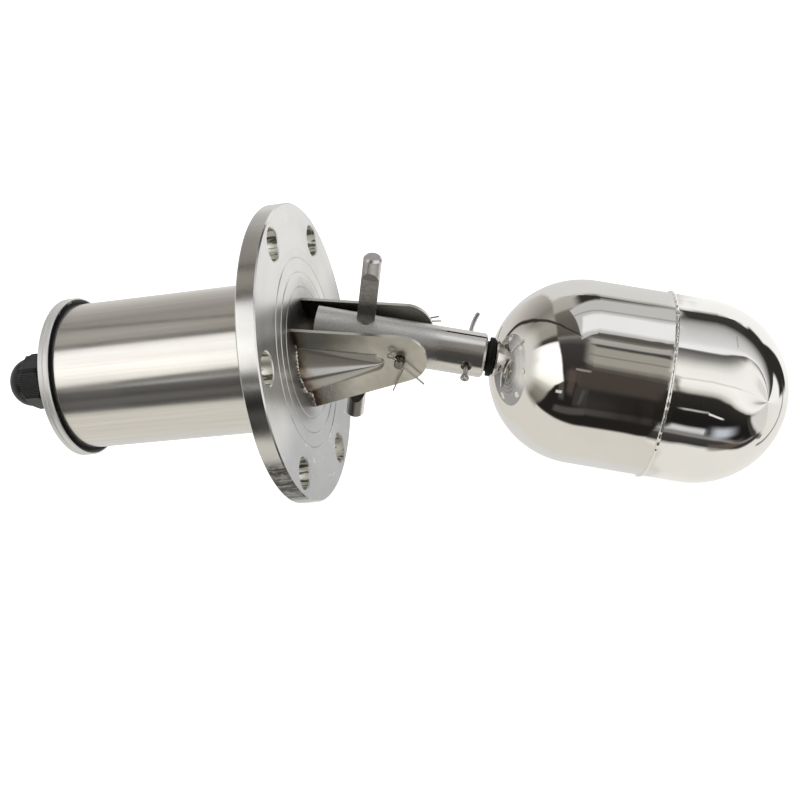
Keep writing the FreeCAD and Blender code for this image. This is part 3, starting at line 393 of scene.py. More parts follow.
# %% [markdown]
# The far end is what the float's outer half shows: more stripes than the middle, which bend away
# towards the float's tip by an amount that a ramp gives for each turn, and a broad black arc high
# behind.

# %% Far end of the room
BEND_RANGE = 200              # degrees between the ramp's black and white
STRIPE_BEND = [(-90, 0.25), (-40, 0.25), (-26, 0.31), (0, 0.34), (30, 0.31), (50, 0.48),
               (75, 0.72), (90, 0.81), (106, 0.68), (126, 0.51), (150, 0.55), (269, 0.5)]


def far_end(wires, turn, lean):
    past = wires.minus(lean, SEAM_LEAN)
    square = wires.times(past, past)
    steep = wires.times(square, wires.plus(1.0, wires.times(square, 1.5)))
    amount = wires.minus(room_ramp(wires, turn, STRIPE_BEND), 0.5)
    bend = wires.times(wires.times(steep, amount), BEND_RANGE / 360)
    bent = wires.minus(turn, bend)
    room = room_ramp(wires, bent, [
        (-90, TABLE_FAR), (-36, TABLE_FAR), (-33, (0.40, 0.39, 0.37)), (-31, (0.04, 0.038, 0.037)),
        (-22, (0.06, 0.058, 0.055)), (-20, (0.30, 0.29, 0.28)), (-18, (0.20, 0.19, 0.185)),
        (-14, (0.022, 0.021, 0.02)), (-8, (0.014, 0.013, 0.013)),
        (6, (0.014, 0.013, 0.012)), (32, (0.03, 0.028, 0.025)), (35, (0.50, 0.49, 0.45)),
        (41, (0.92, 0.91, 0.87)), (48, (1.02, 1.01, 0.98)), (62, (0.94, 0.93, 0.90)),
        (69, (0.70, 0.69, 0.67)), (77, (0.28, 0.275, 0.265)), (83, (0.13, 0.125, 0.12))])
    past_lamp = room_ramp(wires, bent, [
        (-90, 0.12), (85.5, (0.12, 0.115, 0.11)),
        (87, (0.92, 0.92, 0.93)), (91, (0.95, 0.95, 0.96)), (98, (0.76, 0.76, 0.78)),
        (112, (0.62, 0.62, 0.63)), (124, (0.44, 0.44, 0.44)), (130, (0.22, 0.215, 0.21)),
        (134, (0.04, 0.038, 0.035)), (149, (0.05, 0.046, 0.042)), (153, (1.0, 1.0, 0.99)),
        (200, (1.03, 1.025, 1.01)), (216, (0.88, 0.87, 0.84)), (269, TABLE_FAR)])
    room = wires.mix(wires.fade(bent, room_turn(83), room_turn(84)), room, past_lamp)
    return hang(wires, room, turn, lean, [
        ((19, 20), (0.27, 0.48), 0.95, (1.4, 0.07), -26, 0, 0.9),
        ((-10, -6), (0.50, 0.58), (0.62, 0.65, 0.72), (10, 0.24), -12, 0, 0.9),
        ((-13, -11), (0.19, 0.21), (0.85, 0.86, 0.9), (6, 0.10), 0, 0, 0.8),
        ((-30, -24), (0.40, 0.75), (0.16, 0.12, 0.10), (5, 0.10), -20, 0, 0.6),
        ((50, 51), (0.0, 0.9), (0.62, 0.60, 0.56), (1.2, 0.05), 0, 0, 0.6),
        ((56, 96), (0.78, 1.1), (0.98, 0.975, 0.95), (16, 0.10), 0, 0, 0.8),
        ((108, 122), (0.53, 0.535), (0.25, 0.25, 0.25), (3, 0.012), 0, -0.0035, 0.7),
        ((134, 150), (0.56, 0.90), (0.035, 0.032, 0.03), (6, 0.05), 10, 0, 1.0),
        ((148, 203), (0.73, 0.90), (0.03, 0.028, 0.026), (8, 0.035), 0, 0, 1.0),
        ((203, 268), (0.82, 0.83), (0.10, 0.09, 0.08), (10, 0.015), 0, 0, 0.8),
        ((-88, -10), (0.93, 1.1), (0.80, 0.79, 0.77), (20, 0.03), 0, 0, 0.9),
        ((-85, -6), (0.885, 0.90), (0.06, 0.056, 0.05), (14, 0.014), 0, 0, 0.8)])


# %% [markdown]
# The three parts meet along soft lines. How far the middle reaches towards the flange depends on
# the turn, so a ramp gives its edge. A slow wobble on the direction keeps every edge from being
# perfectly straight, as real things in a real room are.

# %% World
WOBBLE = 0.04
WOBBLE_SCALE = 2.6
MIDDLE_REACH = [(-90, 0.80), (-31, 0.78), (0, 0.58), (12, 0.46), (18, 0.34), (21, 0.28),
                (55, 0.27), (80, 0.31), (130, 0.31), (180, 0.30), (269, 0.80)]
MIDDLE_SOFT = 0.05            # how far its edge fades


def float_direction(wires):
    """The turn around the float's axis and the lean along it of the direction a ray comes from,
    and the direction's part along X."""
    straight = wires.node("ShaderNodeTexCoord").outputs["Generated"]
    noise = wires.node("ShaderNodeTexNoise")
    wires.plug(noise.inputs["Vector"], straight)
    noise.inputs["Scale"].default_value = WOBBLE_SCALE
    centred = wires.node("ShaderNodeVectorMath", operation="SUBTRACT")
    wires.plug(centred.inputs[0], noise.outputs["Color"])
    centred.inputs[1].default_value = (0.5, 0.5, 0.5)
    wobble = wires.node("ShaderNodeVectorMath", operation="MULTIPLY_ADD")
    wires.plug(wobble.inputs[0], centred.outputs[0])
    wobble.inputs[1].default_value = (WOBBLE, WOBBLE, WOBBLE)
    wires.plug(wobble.inputs[2], straight)
    x, y, z = wires.split(wobble.outputs[0])
    lean = wires.plus(wires.times(x, FLOAT_AXIS.x), wires.times(z, FLOAT_AXIS.z))
    rise = wires.minus(wires.times(z, FLOAT_AXIS.x), wires.times(x, FLOAT_AXIS.z))
    angle = wires.math("ARCTAN2", rise, wires.times(y, -1))
    turn = wires.math("FRACT", wires.plus(wires.over(angle, 2 * math.pi), 1.25))
    return turn, lean, x


def make_world():
    world = bpy.data.worlds.new("studio")
    bpy.context.scene.world = world
    world.use_nodes = True
    world.node_tree.nodes.clear()
    wires = Wires(world.node_tree)
    turn, lean, x = float_direction(wires)
    near = flange_end(wires, turn, lean)
    middle = room_middle(wires, turn, lean)
    far = far_end(wires, turn, lean)
    past_reach = wires.plus(x, room_ramp(wires, turn, MIDDLE_REACH))
    room = wires.mix(wires.fade(past_reach, -MIDDLE_SOFT / 2, MIDDLE_SOFT / 2), near, middle)
    room = black_frame(wires, room, turn, lean)
    room = wires.mix(wires.fade(lean, SEAM_LEAN - 0.01, SEAM_LEAN + 0.01), room, far)
    rays = wires.node("ShaderNodeLightPath")
    reflected = wires.math("MAXIMUM", rays.outputs["Is Glossy Ray"],
        rays.outputs["Is Transmission Ray"])
    light = wires.mix(reflected, EVEN_LIGHT, room)
    light = wires.mix(rays.outputs["Is Camera Ray"], light, 1.0)
    background = wires.node("ShaderNodeBackground")
    wires.plug(background.inputs["Color"], light)
    output = wires.node("ShaderNodeOutputWorld")
    wires.tree.links.new(background.outputs[0], output.inputs[0])


make_world()
print("studio world ready")

# %% [markdown]
# The floor is a plain white table. A little light of its own, for camera rays only, brings it to
# white without any more light on the object, and the soft shadow stays. Reflected rays don't see
# it, because the room above already holds the table's colour below the horizon.

# %% Floor and lamp
FLOOR_DROP = 6 * MM
FLOOR_SIZE = 6.0
FLOOR_COLOUR = 0.86
FLOOR_GLOW = 0.62
LAMP_SIZE = 1.6
LAMP_POWER = 5.0
LAMP_PLACE = Vector((0.15, 0.25, 0.95))


def make_floor():
    low = cad_low.z - FLOOR_DROP
    bpy.ops.mesh.primitive_plane_add(size=FLOOR_SIZE, location=(0, 0, low))
    floor = bpy.context.object
    floor.name = "floor"
    material = bpy.data.materials.new("white_table")
    material.use_nodes = True
    material.node_tree.nodes.clear()
    wires = Wires(material.node_tree)
    matt = wires.node("ShaderNodeBsdfDiffuse")
    matt.inputs["Color"].default_value = rgba(FLOOR_COLOUR)
    glow = wires.node("ShaderNodeEmission")
    rays = wires.node("ShaderNodeLightPath")
    wires.plug(glow.inputs["Strength"], wires.times(rays.outputs["Is Camera Ray"], FLOOR_GLOW))
    both = wires.node("ShaderNodeAddShader")
    wires.tree.links.new(matt.outputs[0], both.inputs[0])
    wires.tree.links.new(glow.outputs[0], both.inputs[1])
    output = wires.node("ShaderNodeOutputMaterial")
    wires.tree.links.new(both.outputs[0], output.inputs[0])
    floor.data.materials.append(material)
    floor.visible_glossy = False


def make_lamp():
    light = bpy.data.lights.new("overhead_lamp", "AREA")
    light.size = LAMP_SIZE
    light.energy = LAMP_POWER
    lamp = bpy.data.objects.new("overhead_lamp", light)
    lamp.location = LAMP_PLACE
    lamp.rotation_mode = "QUATERNION"
    lamp.rotation_quaternion = LAMP_PLACE.to_track_quat("Z", "Y")
    lamp.visible_glossy = False
    bpy.context.collection.objects.link(lamp)


make_floor()
make_lamp()
print("floor", round(cad_low.z - FLOOR_DROP, 4), "m")

# %% [markdown]
# ## Effects that several finishes share
#
# A shader node group is to materials what a function is to code. Each group below reads a place in
# metres and gives back one value between 0 and 1, or a colour. The material decides whether that
# value darkens the metal, roughens it or tilts its surface.

# %% Group helper


def new_group(name, inputs, outputs):
    """A node group with float or vector inputs (name, default) and named outputs."""
    tree = bpy.data.node_groups.new(name, "ShaderNodeTree")
    for label, default in inputs:
        kind = "NodeSocketVector" if default is None else "NodeSocketFloat"
        socket = tree.interface.new_socket(name=label, in_out="INPUT", socket_type=kind)
        if default is not None:
            socket.default_value = default
    for label, kind in outputs:
        tree.interface.new_socket(name=label, in_out="OUTPUT", socket_type="NodeSocket" + kind)
    wires = Wires(tree)
    return tree, wires, wires.node("NodeGroupInput").outputs, wires.node("NodeGroupOutput").inputs


# %% [markdown]
# **Grain** is the streaky look of drawn or belt-ground metal. Noise that is stretched a hundred
# times along one direction does it: the value hardly changes along the streak and quickly across
# it. **Turned rings** are the same idea on a lathe, where the streaks run round the axis, so the
# noise reads only the distance from the axis and the place along it.

# %% Grain and turned rings


def make_grain():
    tree, wires, given, out = new_group("grain",
        [("Place", None), ("Fineness", 900.0), ("Length", 0.02)], [("Streaks", "Float")])
    x, y, z = wires.split(given["Place"])
    along = wires.times(x, given["Length"])
    fine = wires.noise(wires.join(along, y, z), given["Fineness"], 2.0)
    broad = wires.noise(wires.join(along, z, y), wires.over(given["Fineness"], 7), 2.0)
    wires.plug(out["Streaks"], wires.plus(wires.times(fine, 0.6), wires.times(broad, 0.4)))
    return tree


def make_turned_rings():
    tree, wires, given, out = new_group("turned_rings", [("Place", None), ("Fineness", 1500.0)],
        [("Rings", "Float"), ("Radius", "Float")])
    x, y, z = wires.split(given["Place"])
    radius = wires.length(y, z)
    fine = wires.noise(wires.join(radius, x, 0.0), given["Fineness"], 2.0)
    broad = wires.noise(wires.join(radius, x, 0.3), wires.over(given["Fineness"], 9), 1.0)
    wires.plug(out["Rings"], wires.plus(wires.times(fine, 0.6), wires.times(broad, 0.4)))
    wires.plug(out["Radius"], radius)
    return tree


GRAIN = make_grain()
RINGS = make_turned_rings()
print("groups:", GRAIN.name, RINGS.name)

# %% [markdown]
# **Smudges** are the broad uneven patches that handling and wiping leave. **Scratches** are thin
# lines: where stretched noise crosses its middle value it draws a long curve, and a narrow window
# around that value keeps only the line.

# %% Smudges and scratches


def make_smudges():
    tree, wires, given, out = new_group("smudges", [("Place", None), ("Scale", 25.0)],
        [("Mask", "Float")])
    cloud = wires.noise(given["Place"], given["Scale"], 4.0, 0.6)
    wires.plug(out["Mask"], wires.fade(cloud, 0.35, 0.68))
    return tree


def make_scratches():
    tree, wires, given, out = new_group("scratches",
        [("Place", None), ("Scale", 60.0), ("Width", 0.006)], [("Lines", "Float")])
    total = None
    for turn in (0.4, 1.7, 2.6):
        spin = wires.node("ShaderNodeVectorRotate", rotation_type="X_AXIS")
        wires.plug(spin.inputs["Vector"], given["Place"])
        spin.inputs["Angle"].default_value = turn
        wave = wires.noise(spin.outputs[0], given["Scale"], 1.0, 0.4, stretch=(1, 1, 0.12))
        away = wires.size(wires.minus(wave, 0.5))
        line = wires.fade(away, 0.0, given["Width"], 1.0, 0.0)
        gaps = wires.fade(wires.noise(given["Place"], 130.0 + 40 * turn, 1.0), 0.52, 0.6)
        line = wires.times(line, gaps)
        total = line if total is None else wires.math("MAXIMUM", total, line)
    wires.plug(out["Lines"], total)
    return tree


SMUDGES = make_smudges()
SCRATCHES = make_scratches()
print("groups:", SMUDGES.name, SCRATCHES.name)

# %% [markdown]
# **Temper** is the film of oxide that welding leaves on stainless steel: brown against the bead,
# then straw, then bare metal a few millimetres out. It needs only the distance from the weld.
# Noise makes its border uneven, as the torch's hand was.

# %% Temper colours


def make_temper():
    tree, wires, given, out = new_group("temper",
        [("Place", None), ("Distance", 0.0), ("Reach", 0.006)],
        [("Colour", "Color"), ("Mask", "Float")])
    wander = wires.times(wires.noise(given["Place"], 220.0, 3.0), given["Reach"])
    away = wires.over(wires.minus(wires.plus(given["Distance"], wander),
        wires.times(given["Reach"], 0.5)), given["Reach"])
    wires.plug(out["Colour"],
        wires.ramp(away, [(0.0, (0.16, 0.10, 0.07)), (0.25, (0.30, 0.19, 0.12)),
        (0.5, (0.55, 0.42, 0.29)), (0.75, (0.80, 0.68, 0.48)), (1.0, (0.95, 0.92, 0.85))]))
    wires.plug(out["Mask"], wires.fade(away, 0.1, 1.1, 1.0, 0.0))
    return tree


TEMPER = make_temper()
print("group:", TEMPER.name)

# %% [markdown]
# ## Materials
#
# `new_material` opens an empty graph with one Principled shader, and hands back its sockets and
# the place in metres. Constants go straight onto those sockets, and the groups feed them what
# varies. `coat` plugs in the colour, the roughness and the bump, and `dress` gives a finished
# material to nodes of the frame.

# %% Material helper


def new_material(name, metallic=1.0):
    material = bpy.data.materials.new(name)
    material.use_nodes = True
    material.node_tree.nodes.clear()
    wires = Wires(material.node_tree)
    shader = wires.node("ShaderNodeBsdfPrincipled")
    shader.inputs["Metallic"].default_value = metallic
    output = wires.node("ShaderNodeOutputMaterial")
    wires.tree.links.new(shader.outputs[0], output.inputs[0])
    return material, wires, shader.inputs, wires.place()


def coat(wires, shader, colour, rough, normal):
    """Feeds the three sockets that every finish uses."""
    for socket, value in (("Base Color", colour), ("Roughness", rough), ("Normal", normal)):
        wires.plug(shader[socket], value)


def dress(material, *nodes):
    for name in nodes:
        mesh = frame["nodes"][name].data
        mesh.materials.clear()
        mesh.materials.append(material)
    print(material.name, "on", len(nodes), "nodes")


# %% [markdown]
# **The tube** is drawn stainless pipe, belt-ground along its length. Grain along X changes its
# colour a little and its roughness more. The flange was welded on from behind, so the last few
# millimetres next to it carry a faint brown tint.

# %% Tube
STEEL_DARK = (0.70, 0.675, 0.635)
STEEL_LIGHT = (0.86, 0.84, 0.805)
FLANGE_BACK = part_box("mounting_flange")[0].x


def make_tube_steel():
    material, wires, shader, place = new_material("tube_steel", metallic=0.90)
    streaks = wires.group(GRAIN, place=place, fineness=700.0, length=0.015)["Streaks"]
    patches = wires.group(SMUDGES, place=place, scale=22.0)["Mask"]
    steel = wires.mix(wires.fade(streaks, 0.25, 0.75), (0.77, 0.745, 0.705), STEEL_LIGHT)
    x = wires.split(place)[0]
    from_flange = wires.minus(FLANGE_BACK, x)
    temper = wires.group(TEMPER, place=place, distance=from_flange, reach=5 * MM)
    tint = wires.times(temper["Mask"], 0.45)
    rough = wires.plus(wires.times(streaks, 0.08), wires.times(patches, 0.04))
    coat(wires, shader, wires.mix(tint, steel, temper["Colour"], "MULTIPLY"),
        wires.plus(rough, 0.115), wires.bump(streaks, 0.003 * MM, 0.4))
    return material


dress(make_tube_steel(), "housing_tube")

# %% [markdown]
# ** Turned steel** comes off a lathe with fine rings. On the end cover and the flange the rings run
# round X. The flange's rim is smoother than its faces. Low on the near side a streaky dark
# reflection is painted on it, and lower still a bright one. Two small marks on the front face show
# where the long studs behind were welded. On the cover, painted shade darkens the annulus next to
# the gasket.

# %% Turned pieces
RIM_RADIUS = 69.6 * MM
STUD_MARKS = [(17.5 * MM, 24.7 * MM), (-14.6 * MM, -27.1 * MM)]
MARK_RADIUS = 4.5 * MM
BOLT_CIRCLE = 59.5 * MM       # radius of the circle that the bolt holes lie on
BOLT_HOLE = 7.5 * MM
COVER_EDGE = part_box("cover_gasket")[0].x
# Turns round the rim of the painted dark and bright reflections.
RIM_DARK_REFLECTION = (-31 * DEG, -10 * DEG)     # turns round the rim, 0 on the near side and minus downward
RIM_BRIGHT_REFLECTION = (-85 * DEG, -46 * DEG)


def ring_around(wires, y, z, centre, radius, width):
    """1 on a circle of that radius around (y, z) in the YZ plane, 0 away from it."""
    across = wires.minus(y, centre[0])
    up = wires.minus(z, centre[1])
    away = wires.length(across, up)
    return wires.fade(wires.size(wires.minus(away, radius)), 0.0, width, 1.0, 0.0)


def hole_mask(wires, y, z):
    """1 inside the six bolt holes, 0 outside. Folding the turn makes the six into one."""
    angle = wires.math("ARCTAN2", y, z)
    folded = wires.minus(wires.math("FRACT", wires.plus(wires.over(angle, 60 * DEG), 0.5)), 0.5)
    radius = wires.length(y, z)
    spread = wires.times(folded, 60 * DEG)
    across = wires.times(radius, wires.math("SINE", spread))
    outward = wires.minus(wires.times(radius, wires.math("COSINE", spread)), BOLT_CIRCLE)
    away = wires.length(across, outward)
    return wires.fade(away, BOLT_HOLE - 0.05 * MM, BOLT_HOLE + 0.15 * MM, 1.0, 0.0)


def flange_details(wires, place, steel):
    """The face is darker towards the bottom and around the bracket's foot, both painted dark
    reflections. The holes' walls carry painted dark and bright reflection bands along the drill's
    turns, and the rim carries a painted streaky dark reflection with a painted bright one below
    it."""
    x, y, z = wires.split(place)
    # Painted dark reflection: the face goes darker and bluer towards the bottom.
    low_face_reflection = wires.times(wires.fade(z, 8 * MM, -16 * MM), 0.95)
    steel = wires.mix(low_face_reflection, steel, (0.50, 0.505, 0.52))
    # Painted dark reflection around the bracket's foot.
    foot = wires.join(0.0, wires.times(y, 0.75), wires.minus(z, 6 * MM))
    length = wires.node("ShaderNodeVectorMath", operation="LENGTH")
    wires.plug(length.inputs[0], foot)
    shadow = wires.fade(length.outputs["Value"], 16 * MM, 30 * MM, 0.65, 0.0)
    steel = wires.mix(shadow, steel, (0.17, 0.16, 0.145))
    # Painted dark and bright reflection bands on the walls of the bolt holes, laid along the
    # drill's turns.
    turns = wires.noise(wires.join(wires.times(x, 0.2), y, z), 330.0, 2.0, 0.7)
    hole_reflections = wires.mix(wires.fade(turns, 0.42, 0.50), (0.13, 0.13, 0.09), (1.0, 1.0, 0.94))
    steel = wires.mix(hole_mask(wires, y, z), steel, hole_reflections)
    around = wires.math("ARCTAN2", z, wires.times(y, -1))
    radius = wires.length(y, z)
    reflection_streaks = wires.noise(wires.join(wires.times(x, 12), wires.times(around, 2.6), 0.0), 9.0, 4.0,
        0.7)
    # Painted reflections on the rim: a streaky dark one low on the near side and a bright one
    # below it.
    dark = wires.times(between(wires, around, *RIM_DARK_REFLECTION, 7 * DEG),
        wires.fade(reflection_streaks, 0.62, 0.46, 0.45, 1.0))
    bright = wires.times(between(wires, around, *RIM_BRIGHT_REFLECTION, 8 * DEG),
        wires.fade(reflection_streaks, 0.40, 0.60, 0.0, 0.8))
    on_rim = wires.fade(radius, RIM_RADIUS - 0.3 * MM, RIM_RADIUS)
    steel = wires.mix(wires.times(on_rim, dark), steel, (0.07, 0.066, 0.06))
    return wires.mix(wires.times(on_rim, bright), steel, (0.97, 0.965, 0.95))


def make_turned_steel(name, rough, marks=()):
    material, wires, shader, place = new_material(name, metallic=1.0 if marks else 0.65)
    rings = wires.group(RINGS, place=place, fineness=1400.0)
    patches = wires.group(SMUDGES, place=place, scale=26.0)["Mask"]
    lines = wires.group(SCRATCHES, place=place, scale=55.0, width=0.005)["Lines"]
    steel = wires.mix(wires.fade(rings["Rings"], 0.25, 0.75), (0.76, 0.75, 0.735),
        (0.85, 0.845, 0.835))
    rim = wires.fade(rings["Radius"], RIM_RADIUS - 0.4 * MM, RIM_RADIUS)
    height = wires.plus(wires.times(rings["Rings"], 0.6), wires.times(lines, -0.8))
    x, y, z = wires.split(place)
    for centre in marks:
        mark = ring_around(wires, y, z, centre, MARK_RADIUS, 2.2 * MM)
        mark = wires.times(mark, wires.fade(x, -0.5 * MM, -0.1 * MM))
        steel = wires.mix(wires.times(mark, 0.16), steel, (0.45, 0.43, 0.40))
        height = wires.plus(height, wires.times(mark, 0.6))
    if marks:
        steel = flange_details(wires, place, steel)
    else:
        # Painted shade: the cover's annulus next to the gasket goes near black.
        gasket_shade = wires.times(wires.fade(x, COVER_EDGE - 0.10 * MM, COVER_EDGE),
            wires.fade(rings["Radius"], 37.5 * MM, 37.9 * MM, 0.97, 0.0))
        steel = wires.mix(gasket_shade, steel, (0.010, 0.010, 0.009))
    uneven = wires.plus(wires.times(rings["Rings"], 0.12), wires.times(patches, 0.08))
    coat(wires, shader, wires.mix(wires.times(lines, 0.35), steel, (0.95, 0.94, 0.92)),
        wires.plus(uneven, wires.fade(rim, 0.0, 1.0, rough, rough * 0.35)),
        wires.bump(height, 0.01 * MM, 0.5))
    return material


dress(make_turned_steel("flange_steel", 0.26, STUD_MARKS), "mounting_flange")
dress(make_turned_steel("cover_steel", 0.30), "end_cover")

# %% [markdown]
# ** The cheeks** are pressed from sheet and welded to the flange. Heat drew brown temper colours
# over the first few millimetres. Bands along the rib are painted reflections: a bright ridge
# between dark lines, darker sides and a dark outline. Painted shade darkens the upper part near
# the flange and the inner faces, most near the flange, and the cut edges are bright. Which side a
# point belongs to is read from its distance to the middle plane, and a cut edge from the piece's
# own surface direction.

# %% Cheeks
CHEEK_INSIDE = 12 * MM         # from the middle plane: nearer points lie on a cheek's inner face
CHEEK_OUTSIDE = 13.7 * MM      # farther points lie on the rib
RIB_TIP = 40 * MM              # where the rib's two edges would meet
RIB_HALF = 13 * MM             # half its width at the foot
# Painted reflections across the rib, in bands.
RIB_REFLECTIONS = [                  # colour from the lower edge, -1, over the ridge, 0, to the upper, 1
    (-1.05, (0.16, 0.12, 0.09)), (-0.86, (0.18, 0.14, 0.10)), (-0.74, (0.44, 0.42, 0.37)),
    (-0.20, (0.52, 0.50, 0.46)), (-0.10, (0.05, 0.04, 0.03)), (0.02, (0.05, 0.04, 0.03)),
    (0.08, (0.97, 0.96, 0.93)), (0.36, (0.97, 0.96, 0.93)), (0.48, (0.20, 0.18, 0.145)),
    (0.88, (0.23, 0.21, 0.17)), (1.0, (0.04, 0.036, 0.03)), (1.06, (0.35, 0.33, 0.29))]


def make_cheek_steel():
    material, wires, shader, place = new_material("cheek_steel")
    x, y, z = wires.split(place)
    facing = wires.facing()
    off_middle = wires.size(y)
    patches = wires.group(SMUDGES, place=place, scale=60.0)["Mask"]
    lines = wires.group(SCRATCHES, place=place, scale=110.0, width=0.006)["Lines"]
    steel = wires.mix(patches, (0.74, 0.72, 0.65), (0.62, 0.60, 0.53))
    # Painted shade on the upper part near the flange.
    rising = wires.fade(z, 5 * MM, 15 * MM, 0.0, 0.85)
    top_shade = wires.times(rising, wires.fade(x, 20 * MM, 46 * MM, 1.0, 0.0))
    steel = wires.mix(top_shade, steel, (0.26, 0.25, 0.22))
    on_rib = wires.fade(off_middle, CHEEK_OUTSIDE, CHEEK_OUTSIDE + 0.5 * MM)
    width = wires.math("MAXIMUM", wires.times(wires.minus(1.0, wires.over(x, RIB_TIP)), RIB_HALF),
        0.5 * MM)
    across = wires.over(z, width)
    # Painted reflections in bands across the rib.
    rib_reflections = wires.ramp(wires.plus(wires.times(across, 0.4), 0.5),
        [((place_across + 1.25) / 2.5, shade) for place_across, shade in RIB_REFLECTIONS],
        kind="B_SPLINE")
    steel = wires.mix(wires.times(on_rib, 0.92), steel, rib_reflections)
    far_out = wires.fade(z, -4 * MM, 12 * MM, 9 * MM, 5 * MM)
    temper = wires.group(TEMPER, place=place, distance=x, reach=far_out)
    tint = wires.times(temper["Mask"], 0.95)
    steel = wires.mix(tint, steel, temper["Colour"], "MULTIPLY")
    # Painted shade on the inner faces, strongest near the flange.
    inside = wires.fade(off_middle, CHEEK_INSIDE - 0.3 * MM, CHEEK_INSIDE, 1.0, 0.0)
    inner_shade = wires.fade(x, 20 * MM, 55 * MM, 0.92, 0.45)
    steel = wires.mix(wires.times(inside, inner_shade), steel, (0.07, 0.066, 0.06))
    edge = wires.fade(wires.size(facing[1]), 0.02, 0.10, 1.0, 0.0)
    steel = wires.mix(wires.times(edge, 0.7), steel, (0.88, 0.87, 0.84))
    wires.plug(shader["Metallic"], wires.fade(on_rib, 0.0, 1.0, 1.0, 0.30))
    peel = wires.noise(place, 420.0, 2.0)
    height = wires.plus(wires.times(peel, 0.5), wires.times(lines, -0.7))
    coat(wires, shader, steel, wires.plus(wires.times(patches, 0.08), 0.27),
        wires.bump(height, 0.04 * MM, 0.5))
    return material


CHEEK_STEEL = make_cheek_steel()
dress(CHEEK_STEEL, "left_cheek", "right_cheek")

# %% [markdown]
# ** Bright bar** covers the pins: smooth drawn rod. **Split-pin wire** is a little duller. Both are
# the same graph with other numbers, so one function makes them. The pivot pin is that bar painted
# dark, a painted shade. **The stop rod** has its own, because its two milled flats are rougher
# than its round and painted darker, a painted dark reflection, and painted shade darkens the near
# side of its lower end.

# %% Pins, wire and rod
ROD_LOW_END = PIVOT.z - 47 * MM


def make_bar_steel(name, dark, light, rough, fineness):
    material, wires, shader, place = new_material(name)
    grain = wires.noise(place, fineness, 3.0, 0.6)
    patches = wires.group(SMUDGES, place=place, scale=90.0)["Mask"]
    coat(wires, shader, wires.mix(wires.fade(grain, 0.3, 0.7), dark, light),
        wires.plus(wires.times(patches, 0.12), rough), wires.bump(grain, 0.02 * MM, 0.4))
    return material


def make_rod_steel():
    """The same bar, painted darker on its milled flats as a painted dark reflection. The flats lie
    nearer to the middle than its round.
    """
    material, wires, shader, place = new_material("rod_steel")
    level = wires.turn(place, -ARM_DROOP, PIVOT)
    y = wires.split(level)[1]
    facing = wires.facing()
    grain = wires.noise(place, 1100.0, 3.0, 0.6)
    steel = wires.mix(wires.fade(grain, 0.3, 0.7), (0.72, 0.71, 0.70), (0.88, 0.87, 0.86))
    on_flat = wires.times(wires.fade(facing[1], -0.98, -0.995),
        wires.fade(y, -2.0 * MM, -1.0 * MM))
    # Painted dark reflection on the milled flats.
    flat_dark_reflection = wires.mix(wires.fade(grain, 0.3, 0.7), (0.33, 0.32, 0.30), (0.52, 0.505, 0.48))
    steel = wires.mix(on_flat, steel, flat_dark_reflection)
    z = wires.split(level)[2]
    # Painted shade on the near side of the lower end.
    low_half = wires.times(wires.fade(z, PIVOT.z - 8 * MM, PIVOT.z - 12 * MM),
        wires.fade(z, ROD_LOW_END, ROD_LOW_END + 1.2 * MM))
    shaded = wires.times(low_half, wires.fade(facing[1], -0.55, -0.80))
    coat(wires, shader, wires.mix(wires.times(shaded, 0.85), steel, (0.15, 0.14, 0.125)),
        wires.fade(on_flat, 0.0, 1.0, 0.30, 0.38), wires.bump(grain, 0.02 * MM, 0.4))
    return material


dress(make_bar_steel("pin_steel", STEEL_DARK, STEEL_LIGHT, 0.14, 900.0), "magnet_cap",
    "float_stem", "lever_pin")
# The pivot pin's darker bar is painted shade.
dress(make_bar_steel("shaded_pin", (0.16, 0.15, 0.13), (0.34, 0.32, 0.29), 0.22, 900.0),
    "pivot_pin")
dress(make_bar_steel("wire_steel", (0.50, 0.48, 0.45), (0.74, 0.72, 0.69), 0.20, 1400.0),
    "near_split_pin", "far_split_pin", "stem_split_pin")
dress(make_rod_steel(), "stop_rod")

# %% [markdown]
# ** The arm** was bead-blasted where the rod passes through it and is smoother outward. Fine
# noise gives the blasted grain. The arm hangs at an angle, so the place is first turned about the
# pivot until the arm lies along X, and then x says how far out a point is.

# %% Arm
BLAST_END = 14 * MM
BLAST_FADE = 10 * MM


